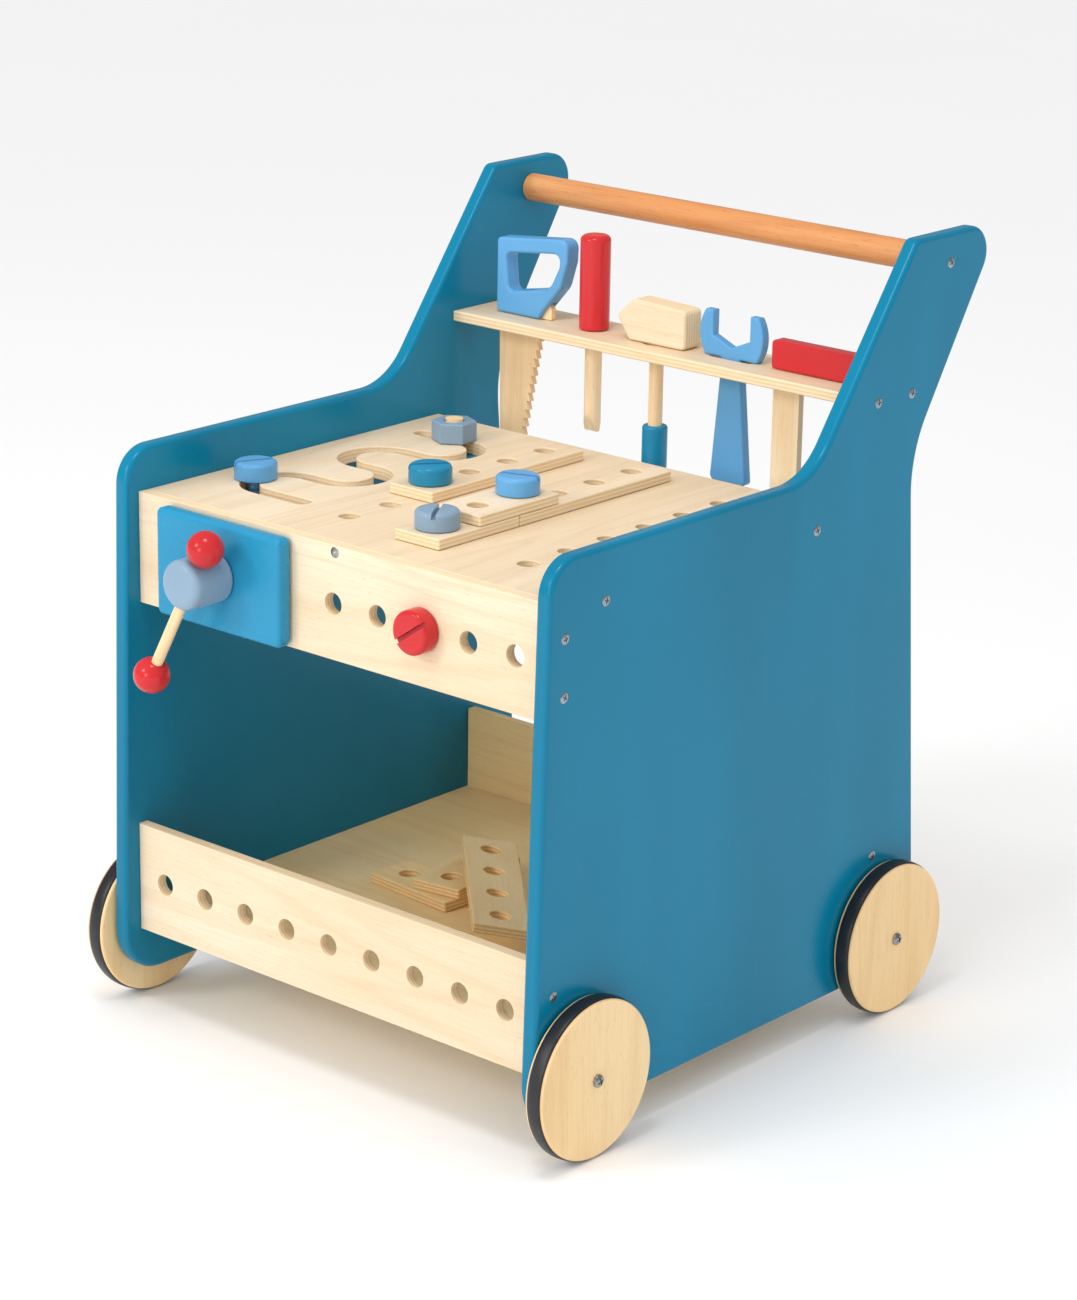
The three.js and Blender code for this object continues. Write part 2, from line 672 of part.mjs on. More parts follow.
// Screwdriver: a stout turned handle on a dowel shaft.
const screwdriverX = screwdriverInset - panelInner;
add("screwdriver_handle", cut(turned([
  [0, 0], [screwdriverRadius - 1.5, 0], [screwdriverRadius, 1.5], [screwdriverRadius, screwdriverLength - 4],
  [screwdriverRadius - 1.2, screwdriverLength - 1.2], [screwdriverRadius - 4, screwdriverLength],
  [0, screwdriverLength],
]), rod(screwdriverShaftRadius + clearance, -1, socketDepth))
  .translate(screwdriverX, rackLine, toolRest), red());
const dowelTop = toolRest + socketDepth - clearance;
add("screwdriver_shaft", rod(screwdriverShaftRadius, rackBottom - screwdriverReach, dowelTop)
  .translate(screwdriverX, rackLine, 0), beech());

// Hammer: a block head on a dowel, with a painted grip at the lower end.
const hammerHead = roundedOutline(corners([
  [-18.9, 0, 3], [32.8, 0, 4], [32.8, 28.7, 4], [-15.8, 30.7, 5], [-30.4, 16.7, 3],
], hammerX, toolRest));
add("hammer_head", cut(
  upright(slab(hammerHead, 0, hammerDepth, { round: 2 }), rackLine + hammerDepth / 2),
  rod(hammerShaftRadius + clearance, toolRest - 1, toolRest + socketDepth).translate(hammerX, rackLine, 0),
), ply());
const gripBottom = rackBottom - hammerReach;
const gripTop = gripBottom + hammerGripLength;
add("hammer_shaft", rod(hammerShaftRadius, gripTop - socketDepth + clearance, dowelTop)
  .translate(hammerX, rackLine, 0), beech());
add("hammer_grip", cut(turned([
  [0, gripBottom], [hammerGripRadius - 3, gripBottom], [hammerGripRadius, gripBottom + 3],
  [hammerGripRadius, gripTop - 1.5], [hammerGripRadius - 1.5, gripTop], [0, gripTop],
]), rod(hammerShaftRadius + clearance, gripTop - socketDepth, gripTop + 1))
  .translate(hammerX, rackLine, 0), teal());

// Wrench: an open jaw on a round head, with a handle that widens to its end.
const wrenchX = panelInner - wrenchInset;
function wrenchOutline() {
  const centreZ = toolRest + wrenchHeadRise;
  const browZ = centreZ + 16;
  const foot = Math.asin((toolRest - centreZ) / wrenchHead);
  const brow = Math.asin((browZ - centreZ) / wrenchHead);
  const outline = new THREE.Shape();
  outline.moveTo(-wrenchEnd, toolRest - wrenchReach);
  outline.lineTo(wrenchEnd, toolRest - wrenchReach);
  outline.lineTo(wrenchNeck, rackBottom - 2);
  outline.lineTo(wrenchNeck, toolRest);
  outline.absarc(0, centreZ, wrenchHead, foot, brow, false);
  outline.lineTo(wrenchMouth, browZ);
  outline.lineTo(wrenchMouth, centreZ - 2);
  outline.lineTo(0, centreZ - 9);
  outline.lineTo(-wrenchMouth, centreZ - 2);
  outline.lineTo(-wrenchMouth, browZ);
  outline.absarc(0, centreZ, wrenchHead, Math.PI - brow, Math.PI - foot, false);
  outline.lineTo(-wrenchNeck, toolRest);
  outline.lineTo(-wrenchNeck, rackBottom - 2);
  outline.closePath();
  return outline;
}
add("wrench", upright(slab(wrenchOutline(), 0, wrenchThickness, { arcSteps: 8 }),
  rackLine + wrenchThickness / 2).translate(wrenchX, 0, 0), lightBlue());
rackSlot(wrenchX - wrenchEnd - 0.5, wrenchX + wrenchEnd + 0.5, wrenchThickness, 3);

// Try square: a painted stock over a thin ply blade.
const squareX = panelInner - squareInset;
const stockRest = toolRest + squareStockWidth;
const bladeTop = stockRest - squareMortise;
add("square_stock", cut(
  upright(slab(rectangle(squareX, squareX + squareStockLength, toolRest, stockRest, 2), 0,
    squareStockThickness, { round: 1.2 }), rackLine + squareStockThickness / 2),
  upright(slab(rectangle(squareX - 1, squareX + squareBladeWidth + clearance, toolRest - 1, bladeTop), 0,
    squareBladeThickness + 2 * clearance), rackLine + squareBladeThickness / 2 + clearance),
), red());
add("square_blade", upright(slab(
  rectangle(squareX + clearance, squareX + squareBladeWidth, bladeTop - squareBladeLength,
    bladeTop - clearance, 0.5), 0, squareBladeThickness), rackLine + squareBladeThickness / 2), beech());
rackSlot(squareX, squareX + squareBladeWidth, squareBladeThickness, 1);

// Tool rack, with a hole or a slot for each tool.
const rackHoles = [
  circle(screwdriverX, rackLine, screwdriverShaftRadius + slip),
  circle(hammerX, rackLine, hammerGripRadius + slip),
  ...rackSlots.map(slot => new THREE.Path(slot.getPoints(4).reverse())),
];
add("tool_rack", slab(rectangle(-span, span, rackFront, rackFront + rackDepth), rackBottom, boardThickness,
  { holes: rackHoles }), ply());

// The middle of the whole bench goes over the origin.
const middle = new THREE.Box3().setFromObject(bench).getCenter(new THREE.Vector3());
bench.position.y = -middle.y;

const group = new THREE.Group();
group.add(bench);

export default group;
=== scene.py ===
# Toy tool bench: birch plywood boards and beech dowels, partly painted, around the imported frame.
import json
import math

import bmesh
import bpy
from mathutils import Matrix, Vector


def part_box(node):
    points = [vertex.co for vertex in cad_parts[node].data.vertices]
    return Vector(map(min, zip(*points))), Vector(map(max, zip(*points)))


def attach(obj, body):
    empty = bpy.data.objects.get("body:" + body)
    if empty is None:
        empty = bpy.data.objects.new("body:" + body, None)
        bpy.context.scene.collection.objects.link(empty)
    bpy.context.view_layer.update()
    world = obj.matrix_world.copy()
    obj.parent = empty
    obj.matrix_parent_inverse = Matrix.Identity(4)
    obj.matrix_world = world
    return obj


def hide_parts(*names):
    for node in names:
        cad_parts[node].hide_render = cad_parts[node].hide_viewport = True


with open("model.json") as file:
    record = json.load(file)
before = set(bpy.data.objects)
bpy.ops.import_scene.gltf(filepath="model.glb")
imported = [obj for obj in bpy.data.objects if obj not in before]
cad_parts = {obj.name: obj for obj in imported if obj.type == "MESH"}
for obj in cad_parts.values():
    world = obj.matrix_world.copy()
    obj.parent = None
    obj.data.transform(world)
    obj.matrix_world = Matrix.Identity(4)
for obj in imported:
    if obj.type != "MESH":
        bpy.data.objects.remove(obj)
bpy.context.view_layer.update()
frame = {"nodes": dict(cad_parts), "record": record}

mm = 0.001
record = frame["record"]
bodyOf = {node: body for body, nodes in record["behaviour"]["bodies"].items() for node in nodes}
slotOf = {part["node"]: part["material_slot"] for part in record["subparts"]}

# Drawings below are in millimetres with y = 0 at the side panels' top front corner. depthShift puts
# them into the frame, where the origin is below the middle of the bench.
topFront = 18.9
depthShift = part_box("table_top")[0].y - topFront * mm


def place(x, y, z):
    return Vector((x * mm, y * mm + depthShift, z * mm))


print("frame loaded:", len(frame["nodes"]), "nodes")

camera = {  # from the front right and above, through a long lens
    "target": (16.1, 200.0, 267.8), "distance": 2568.0, "azimuth": 40.762, "elevation": 17.988,
    "roll": 0.997, "lens": 101.71, "sensor": 36.0,
}


def addCamera():
    azimuth, elevation = math.radians(camera["azimuth"]), math.radians(camera["elevation"])
    back = Vector((math.sin(azimuth) * math.cos(elevation), -math.cos(azimuth) * math.cos(elevation),
                   math.sin(elevation)))
    right = Vector((math.cos(azimuth), math.sin(azimuth), 0))
    up = back.cross(right)
    turn = math.radians(camera["roll"])
    rolledRight = right * math.cos(turn) + up * math.sin(turn)
    rolledUp = up * math.cos(turn) - right * math.sin(turn)
    data = bpy.data.cameras.new("viewCamera")
    data.sensor_fit = "VERTICAL"
    data.sensor_height = camera["sensor"]
    data.lens = camera["lens"]
    data.clip_end = 30
    eye = bpy.data.objects.new("viewCamera", data)
    turned = Matrix((rolledRight, rolledUp, back)).transposed().to_4x4()
    spot = place(*camera["target"]) + back * camera["distance"] * mm
    eye.matrix_world = Matrix.Translation(spot) @ turned
    bpy.context.scene.collection.objects.link(eye)
    bpy.context.scene.camera = eye


addCamera()


class Wire:
    # a node's output that takes part in Python arithmetic
    def __init__(self, finish, socket):
        self.finish, self.socket = finish, socket

    def calc(self, operation, *others, swap=False):
        terms = [self, *others]
        return self.finish.add("ShaderNodeMath", {"operation": operation}, terms[::-1] if swap else terms)

    def __add__(self, other):
        return self.calc("ADD", other)

    def __sub__(self, other):
        return self.calc("SUBTRACT", other)

    def __rsub__(self, other):
        return self.calc("SUBTRACT", other, swap=True)

    def __mul__(self, other):
        return self.calc("MULTIPLY", other)

    def __pow__(self, other):
        return self.calc("POWER", other)

    __radd__ = __add__
    __rmul__ = __mul__

    def band(self, low, high):
        # 0 below low, 1 above high, smooth between
        smooth = {"interpolation_type": "SMOOTHSTEP"}
        return self.finish.add("ShaderNodeMapRange", smooth, [self, low, high])


class Finish:
    def __init__(self, name):
        self.material = bpy.data.materials.new(name)
        self.material.use_nodes = True
        self.tree = self.material.node_tree
        self.tree.nodes.clear()

    def add(self, kind, settings=None, inputs=(), output=0):
        node = self.tree.nodes.new(kind)
        for key, value in (settings or {}).items():
            setattr(node, key, value)
        for key, value in inputs.items() if isinstance(inputs, dict) else enumerate(inputs):
            if isinstance(value, Wire):
                self.tree.links.new(value.socket, node.inputs[key])
            elif value is not None:
                node.inputs[key].default_value = value
        return Wire(self, node.outputs[output]) if node.outputs else node

    def attribute(self, name, output):
        return self.add("ShaderNodeAttribute", {"attribute_name": name}, output=output)

    def stretched(self, point, x, y, z):
        return self.add("ShaderNodeVectorMath", {"operation": "MULTIPLY"}, [point, (x, y, z)])

    def noise(self, point, detail=3.0, roughness=0.55, distortion=0.0):
        return self.add("ShaderNodeTexNoise", {}, {
            "Vector": point, "Scale": 1.0, "Detail": detail, "Roughness": roughness,
            "Distortion": distortion})

    def blend(self, factor, first, second):
        return self.add("ShaderNodeMix", {"data_type": "RGBA"}, {0: factor, 6: first, 7: second}, 2)

    def surface(self, color, roughness, height, depth, **constants):
        normal = self.add("ShaderNodeBump", {}, {"Strength": 0.6, "Distance": depth, "Height": height})
        shader = self.add("ShaderNodeBsdfPrincipled", {}, {
            "Base Color": color, "Roughness": roughness, "Normal": normal, **constants})
        self.add("ShaderNodeOutputMaterial", {}, [shader])
        return self.material


def tint(red, green, blue):
    def linear(value):
        share = value / 255
        return share / 12.92 if share <= 0.04045 else ((share + 0.055) / 1.055) ** 2.4
    return (linear(red), linear(green), linear(blue), 1.0)


# Every piece carries a vector "grain" (x along the wood's fibres, z through its plies, in metres)
# and a value "rim", which is 1 on cut edges and end grain.

plyWoods = {
    "birch_ply": {"face": tint(230, 207, 174), "streak": tint(206, 172, 128), "pale": tint(237, 218, 190),
                  "edgeLight": tint(242, 220, 184), "edgeDark": tint(216, 180, 134), "plyPitch": 0.0027},
    "warmPly": {"face": tint(242, 208, 154), "streak": tint(218, 172, 112), "pale": tint(248, 220, 172),
                "edgeLight": tint(238, 206, 156), "edgeDark": tint(208, 160, 104), "plyPitch": 0.0027},
}
# A brighter, warmer copy of the warm ply for the shelf, rear rail and loose strips: its extra brightness is
# painted light, standing in for the light that reaches in under the table.
plyWoods["innerPly"] = {**plyWoods["warmPly"], "face": tint(255, 224, 164), "streak": tint(236, 188, 126),
                        "pale": tint(255, 232, 182), "edgeLight": tint(252, 218, 160)}
turnedWoods = {
    "beech": {"face": tint(214, 145, 86), "streak": tint(184, 110, 58), "pale": tint(226, 166, 108)},
    "paleBeech": {"face": tint(250, 218, 172), "streak": tint(232, 186, 132), "pale": tint(252, 230, 192)},
}
paints = {  # colour, and roughness at its glossiest
    "blue_paint": ((0, 124, 160), 0.16), "jawPaint": ((40, 146, 188), 0.18),
    "light_blue_paint": ((98, 164, 214), 0.16), "grey_blue_paint": ((138, 164, 186), 0.22),
    "teal_paint": ((36, 138, 178), 0.16), "red_paint": ((206, 48, 52), 0.08),
}


def woodSignals(finish, figure):
    point = finish.attribute("grain", "Vector")
    drift = finish.noise(finish.stretched(point, 2.5, 9, 9), 2)
    contour = finish.noise(finish.stretched(point, 1.6, 16, 16), 2, 0.5, 0.4)
    lines = finish.add("ShaderNodeMath", {"operation": "SINE"}, [contour * figure]) * 0.5 + 0.5
    fibres = finish.noise(finish.stretched(point, 22, 620, 620), 4, 0.65)
    return point, drift, lines, fibres


def flecks(finish, point, strength):
    return finish.noise(finish.stretched(point, 130, 900, 900), 2).band(0.62, 0.74) * strength


def plyMaterial(name, birch):
    finish = Finish(name)
    point, drift, lines, fibres = woodSignals(finish, 46.0)
    ticks = flecks(finish, point, 0.5)
    color = finish.blend(drift.band(0.35, 0.7), birch["face"], birch["pale"])
    color = finish.blend(lines ** 3 * 0.2 + fibres.band(0.42, 0.8) * 0.34 + ticks, color, birch["streak"])
    across = finish.add("ShaderNodeSeparateXYZ", {}, [point], "Z")
    plies = finish.add("ShaderNodeMath", {"operation": "SINE"},
                       [across * (2 * math.pi / birch["plyPitch"]) + drift * 1.5])
    layered = finish.blend(plies.band(-0.5, 0.6) * 0.5 + fibres.band(0.45, 0.7) * 0.3,
                           birch["edgeLight"], birch["edgeDark"])
    rim = finish.attribute("rim", "Fac")
    color = finish.blend(rim, color, layered)
    roughness = fibres * 0.12 + 0.46 + rim * 0.1
    return finish.surface(color, roughness, fibres * 0.7 + lines * 0.2 - ticks, 0.00012,
                          **{"Coat Roughness": 0.35, "Specular IOR Level": 0.4})


def turnedMaterial(name, wood):
    finish = Finish(name)
    point, drift, lines, fibres = woodSignals(finish, 70.0)
    ticks = flecks(finish, point, 0.8)
    color = finish.blend(drift.band(0.35, 0.7), wood["face"], wood["pale"])
    color = finish.blend(lines ** 2 * 0.28 + fibres.band(0.4, 0.8) * 0.45 + ticks * 0.7, color,
                         wood["streak"])
    rim = finish.attribute("rim", "Fac")
    color = finish.blend(rim * 0.35, color, wood["streak"])
    return finish.surface(color, fibres * 0.12 + 0.42, fibres * 0.8 - ticks, 0.00012,
                          **{"Specular IOR Level": 0.45})


def paintMaterial(name, color, gloss):
    finish = Finish(name)
    point, drift, lines, fibres = woodSignals(finish, 46.0)
    body = tint(*color)
    deep = tint(*[value * 0.93 for value in color])
    light = tint(*[min(255, value * 1.05 + 5) for value in color])
    shade = finish.blend(drift.band(0.3, 0.7), deep, body)
    shade = finish.blend(fibres.band(0.55, 0.85) * 0.35, shade, light)
    peel = finish.noise(finish.stretched(point, 260, 260, 260), 1)
    roughness = gloss + peel * 0.1 + fibres * 0.06
    return finish.surface(shade, roughness, fibres * 0.5 + peel * 0.6 + lines * 0.15, 0.00007,
                          **{"Specular IOR Level": 0.26})


def rubberMaterial():
    finish = Finish("blackRubber")
    point = finish.attribute("grain", "Vector")
    mottle = finish.noise(finish.stretched(point, 60, 60, 60), 3)
    grit = finish.noise(finish.stretched(point, 900, 900, 900), 2)
    dusty = finish.blend(mottle.band(0.45, 0.8) * 0.5, tint(30, 31, 35), tint(54, 55, 60))
    return finish.surface(dusty, 0.27 + mottle * 0.18 + grit * 0.08, grit, 0.00008,
                          **{"Specular IOR Level": 0.5})


def steelMaterial():
    finish = Finish("zincSteel")
    point = finish.attribute("grain", "Vector")
    cloud = finish.noise(finish.stretched(point, 300, 300, 300), 3)
    turnedMarks = finish.noise(finish.stretched(point, 2500, 900, 900), 2)
    color = finish.blend(cloud.band(0.3, 0.7), tint(150, 152, 154), tint(182, 183, 182))
    return finish.surface(color, 0.24 + cloud * 0.2, turnedMarks, 0.00003, **{"Metallic": 1.0})


materials = {"rubber_tyre": rubberMaterial(), "steel": steelMaterial()}
for woodName, wood in plyWoods.items():
    materials[woodName] = plyMaterial(woodName.replace("_p", "P"), wood)
for woodName, wood in turnedWoods.items():
    materials[woodName] = turnedMaterial(woodName, wood)
for slotName, (shade, gloss) in paints.items():
    materials[slotName] = paintMaterial(slotName.replace("_p", "P"), shade, gloss)
print("materials made:", len(materials))


# Outlines are closed lists of (u, v) points in millimetres.


def arc(centre, radius, start, end, count):
    return [(centre[0] + radius * math.cos(math.radians(start + (end - start) * i / count)),
             centre[1] + radius * math.sin(math.radians(start + (end - start) * i / count)))
            for i in range(count + 1)]


def circleLoop(u, v, radius):
    return arc((u, v), radius, 0, 360, 40)[:-1]


def roundedLoop(corners, steps=8):
    # corners are (u, v, radius), each rounded by an arc of its radius
    loop = []
    for i, (u, v, radius) in enumerate(corners):
        corner = Vector((u, v))
        back = (Vector(corners[i - 1][:2]) - corner).normalized()
        ahead = (Vector(corners[(i + 1) % len(corners)][:2]) - corner).normalized()
        half = back.angle(ahead) / 2
        if radius <= 0 or abs(half - math.pi / 2) < 1e-4:
            loop.append((u, v))
            continue
        centre = corner + (back + ahead).normalized() * radius / math.sin(half)
        start = corner + back * radius / math.tan(half) - centre
        end = corner + ahead * radius / math.tan(half) - centre
        sweep = math.remainder(math.atan2(end.y, end.x) - math.atan2(start.y, start.x), 2 * math.pi)
        first = math.atan2(start.y, start.x)
        loop += [(centre.x + radius * math.cos(first + sweep * k / steps),
                  centre.y + radius * math.sin(first + sweep * k / steps)) for k in range(steps + 1)]
    return loop


def rectLoop(u0, u1, v0, v1, radius=0.0, steps=6):
    return roundedLoop([(u0, v0, radius), (u1, v0, radius), (u1, v1, radius), (u0, v1, radius)], steps)


sharpAngle = math.radians(32)  # edges past this stay crisp
slip = 0.3  # all round, between pieces that fit into each other

# A drawing's axes u, v and w as they lie in the frame.

flat = (Vector((1, 0, 0)), Vector((0, 1, 0)), Vector((0, 0, 1)))
upright = (Vector((1, 0, 0)), Vector((0, 0, 1)), Vector((0, 1, 0)))
sideways = (Vector((0, 1, 0)), Vector((0, 0, 1)), Vector((1, 0, 0)))


def spread(name):
    # where in the timber a piece is cut from, so that no two share a figure
    count = sum((i + 3) * ord(letter) for i, letter in enumerate(name))
    return Vector((count * 0.137 % 3, count * 0.311 % 3, 0))


def dress(bm, name, origin, axes, along, endNormal):
    # Places a drawn mesh in the frame and stores its grain coordinates and cut edges.
    bmesh.ops.remove_doubles(bm, verts=bm.verts, dist=1e-3)
    shift = spread(name)
    grain = bm.verts.layers.float_vector.new("grain")
    for vert in bm.verts:
        drawn = vert.co * mm
        run = (drawn[along], drawn[(along + 1) % 3], drawn[(along + 2) % 3])
        if endNormal != along:
            run = (drawn[along], drawn[3 - along - endNormal], drawn[endNormal])
        vert[grain] = Vector(run) + shift
        vert.co = origin + axes[0] * drawn.x + axes[1] * drawn.y + axes[2] * drawn.z
    bmesh.ops.recalc_face_normals(bm, faces=bm.faces)
    mesh = bpy.data.meshes.new(name)
    rims = []
    for face in bm.faces:
        facing = abs(face.normal.dot(axes[endNormal]))
        # plies show round the sides of a sheet, end grain on the ends of a dowel
        rims.append(1.0 if (facing > 0.75) == (endNormal == along) else 0.0)
    bm.to_mesh(mesh)
    bm.free()
    mesh.attributes.new("rim", "FLOAT", "FACE").data.foreach_set("value", rims)
    mesh.shade_smooth()
    mesh.set_sharp_from_angle(angle=sharpAngle)
    return mesh


def slab(name, loops, thickness, origin, axes, bevel=0.6, along=0, steps=2):
    # A sheet with holes, its edges rounded: plies lie across w.
    data = bpy.data.curves.new(name, "CURVE")
    data.dimensions = "2D"
    data.fill_mode = "BOTH"
    for loop in loops:
        spline = data.splines.new("POLY")
        spline.points.add(len(loop) - 1)
        for point, (u, v) in zip(spline.points, loop):
            point.co = (u, v, 0, 1)
        spline.use_cyclic_u = True
    data.extrude = thickness / 2 - bevel
    data.bevel_depth = bevel
    data.bevel_resolution = steps
    data.offset = -bevel
    draft = bpy.data.objects.new(name, data)
    bpy.context.scene.collection.objects.link(draft)
    filled = bpy.data.meshes.new_from_object(draft.evaluated_get(bpy.context.evaluated_depsgraph_get()))
    bm = bmesh.new()
    bm.from_mesh(filled)
    bpy.data.objects.remove(draft)
    bpy.data.curves.remove(data)
    bpy.data.meshes.remove(filled)
    bmesh.ops.translate(bm, verts=bm.verts, vec=(0, 0, thickness / 2))
    return dress(bm, name, origin, axes, along, 2)


def spin(bm, profile, steps):
    # Revolves (radius, height) points about w. A profile off the axis closes on itself.
    ring = profile[0][0] > 1e-6
    rows = []
    for radius, height in profile:
        count = steps if radius > 1e-6 else 1
        angles = [2 * math.pi * i / steps for i in range(count)]
        rows.append([bm.verts.new((radius * math.cos(a), radius * math.sin(a), height)) for a in angles])
    pairs = list(zip(rows, rows[1:]))
    if ring:
        pairs.append((rows[-1], rows[0]))
    for low, high in pairs:
        for i in range(steps):
            j = (i + 1) % steps
            corners = [low[i % len(low)], low[j % len(low)], high[j % len(high)], high[i % len(high)]]
            unique = list(dict.fromkeys(corners))
            if len(unique) > 2:
                bm.faces.new(unique)


def turned(name, profile, origin, axes, steps=64, along=2):
    bm = bmesh.new()
    spin(bm, profile, steps)
    return dress(bm, name, origin, axes, along, 2)


def softRim(radius, height, corner, inward=1, steps=5):
    # profile points that round the rim at (radius, height), from the side to the end face
    return [(radius - corner + corner * math.cos(math.radians(a)),
             height - inward * (corner - corner * math.sin(math.radians(a))))
            for a in [90 * i / steps for i in range(steps + 1)]]


def dowelProfile(radius, low, high, corner=0.8):
    return [(0, low), *reversed(softRim(radius, low, corner, -1)),
            *softRim(radius, high, corner), (0, high)]


def threadedRod(bm, radius, depth, lead, low, high, around=40):
    # A rod whose side carries one helical ridge; its ends are flat.
    levels = int((high - low) / lead * 8)
    rows = []
    for k in range(levels + 1):
        height = low + (high - low) * k / levels
        fade = min(1.0, (height - low) / lead, (high - height) / lead)
        row = []
        for i in range(around):
            wave = math.cos(2 * math.pi * (height / lead - i / around))
            reach = radius - depth * (0.5 - 0.5 * max(-1.0, min(1.0, wave * 1.5))) * fade
            angle = 2 * math.pi * i / around
            row.append(bm.verts.new((reach * math.cos(angle), reach * math.sin(angle), height)))
        rows.append(row)
    for under, over in zip(rows, rows[1:]):
        for i in range(around):
            j = (i + 1) % around
            bm.faces.new((under[i], under[j], over[j], over[i]))
    bm.faces.new(rows[0][::-1])
    bm.faces.new(rows[-1])


def carved(mesh, *tools):
    # The mesh with other closed meshes cut out of it.
    target = bpy.data.objects.new(mesh.name, mesh)
    bpy.context.scene.collection.objects.link(target)
    helpers = []
    for tool in tools:
        helper = bpy.data.objects.new("cutter", tool)
        bpy.context.scene.collection.objects.link(helper)
        cut = target.modifiers.new("cut", "BOOLEAN")
        cut.operation, cut.solver, cut.object = "DIFFERENCE", "EXACT", helper
        helpers.append(helper)
    result = bpy.data.meshes.new_from_object(target.evaluated_get(bpy.context.evaluated_depsgraph_get()))
    for item in [target, *helpers]:
        bpy.data.objects.remove(item)
    result.name = mesh.name
    result.shade_smooth()
    result.set_sharp_from_angle(angle=sharpAngle)
    return result


def block(size, origin, axes):
    # a plain box used only as a cutter
    bm = bmesh.new()
    bmesh.ops.create_cube(bm, size=1)
    bmesh.ops.scale(bm, verts=bm.verts, vec=size)
    return dress(bm, "cutter", origin, axes, 0, 2)


def piece(node, mesh, weighted=True, finish=None):
    # Adds a mesh in place of its CAD node, on that node's body and in that node's finish.
    shown = bpy.data.objects.new(f"{node}_piece", mesh)
    mesh.materials.clear()
    mesh.materials.append(materials[finish or slotOf[node]])
    bpy.context.scene.collection.objects.link(shown)
    if weighted:
        even = shown.modifiers.new("evenShading", "WEIGHTED_NORMAL")
        even.keep_sharp = True
        even.weight = 80
    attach(shown, bodyOf[node])
    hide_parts(node)
    return shown


def extra(name, mesh, slotName, body, finish=None):
    # a small piece that has no CAD node of its own
    shown = bpy.data.objects.new(name, mesh)
    mesh.materials.clear()
    mesh.materials.append(materials[finish or slotName])
    bpy.context.scene.collection.objects.link(shown)
    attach(shown, body)
    return shown


def tilted(yaw, pitchUp, roll):
    turn = (Matrix.Rotation(math.radians(yaw), 3, "Z") @ Matrix.Rotation(math.radians(pitchUp), 3, "X")
            @ Matrix.Rotation(math.radians(roll), 3, "Y"))
    return tuple(turn.col[i].copy() for i in range(3))


towardFront = (Vector((1, 0, 0)), Vector((0, 0, 1)), Vector((0, -1, 0)))

panel = {
    "inner": 186.0, "thickness": 12.0, "height": 560.0, "bottom": 24.5, "counter": 412.0, "waist": 408.0,
    "arris": 3.4, "frontLean": 0.024, "rearLean": 0.0823, "wingLean": 0.63, "throatLean": 0.735,
    "counterBack": 267.8, "rearEdge": 382.0,
}


def panelLoop():
    p = panel

    def rear(z):
        return p["rearEdge"] + p["rearLean"] * (p["counter"] - z)

    front = -p["frontLean"] * (p["counter"] - p["bottom"])
    throat = p["height"] - p["counter"]
    return roundedLoop([
        (front, p["bottom"], 34), (rear(p["bottom"]), p["bottom"], 34), (rear(p["waist"]), p["waist"], 90),
        (rear(p["waist"]) + p["wingLean"] * (p["height"] - p["waist"]), p["height"], 20),
        (p["counterBack"] + p["throatLean"] * throat, p["height"], 8),
        (p["counterBack"], p["counter"], 55), (0, p["counter"], 26)], 16)


for side, low in (("left", -panel["inner"] - panel["thickness"]), ("right", panel["inner"])):
    node = f"{side}_side_panel"
    piece(node, slab(node, [panelLoop()], panel["thickness"], place(low, 0, 0), sideways,
                     panel["arris"], along=1, steps=6))

board = {"span": 185.7, "thickness": 8.0, "hole": 7.5, "pitch": 40.0, "edge": 0.5}
table = {"low": 371.0, "thickness": 10.0, "front": topFront, "back": 314.5, "firstHole": 68.0, "rows": 6,
         "columns": (-1, 1, 3)}  # in pitches from the middle
apron = {"holes": 5, "firstHole": 0, "holeHeight": 340.5}
rail = {"holes": 9, "firstHole": -160, "holeHeight": 99.2}
track = {"half": 7.0, "first": 71.0, "gap": 48.5, "rows": 5, "left": -128.8, "right": -113.5,
         "frontEnd": -88.0, "backEnd": -155.0}


def trackLoop():
    t = track
    turn = t["gap"] / 2
    loop = arc((t["frontEnd"], t["first"]), t["half"], -90, 90, 12)
    bends = [(i, t["first"] + (i + 0.5) * t["gap"]) for i in range(t["rows"] - 1)]
    for i, y in bends:
        if i % 2 == 0:
            loop += arc((t["left"], y), turn - t["half"], 270, 90, 20)
        else:
            loop += arc((t["right"], y), turn + t["half"], -90, 90, 24)
    loop += arc((t["backEnd"], t["first"] + (t["rows"] - 1) * t["gap"]), t["half"], 90, 270, 12)
    for i, y in reversed(bends):
        if i % 2 == 0:
            loop += arc((t["left"], y), turn + t["half"], 90, 270, 24)
        else:
            loop += arc((t["right"], y), turn - t["half"], 90, -90, 20)
    return loop


def holeRow(row):
    return [circleLoop(row["firstHole"] + i * board["pitch"], row["holeHeight"], board["hole"])
            for i in range(row["holes"])]


span = board["span"]
topHoles = [circleLoop(column * board["pitch"], table["firstHole"] + i * board["pitch"], board["hole"])
            for column in table["columns"] for i in range(table["rows"])]
piece("table_top", slab(
    "table_top", [rectLoop(-span, span, table["front"], table["back"]), trackLoop(), *topHoles],
    table["thickness"], place(0, 0, table["low"]), flat, board["edge"], along=1))

spindle = {"x": -96.0, "z": 342.5, "radius": 6.4, "slip": 1.0}
guide = {"radius": 5.0, "spread": 40.0}
viseHoles = [circleLoop(spindle["x"], spindle["z"], spindle["radius"] + spindle["slip"])]
viseHoles += [circleLoop(spindle["x"] + way * guide["spread"], spindle["z"], guide["radius"] + slip)
              for way in (-1, 1)]


def uprightBoard(node, holes, finish=None):
    low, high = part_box(node)
    mesh = slab(node, [rectLoop(low.x / mm, high.x / mm, low.z / mm, high.z / mm), *holes],
                board["thickness"], Vector((0, low.y, 0)), upright, board["edge"], along=0)
    return piece(node, mesh, finish=finish)


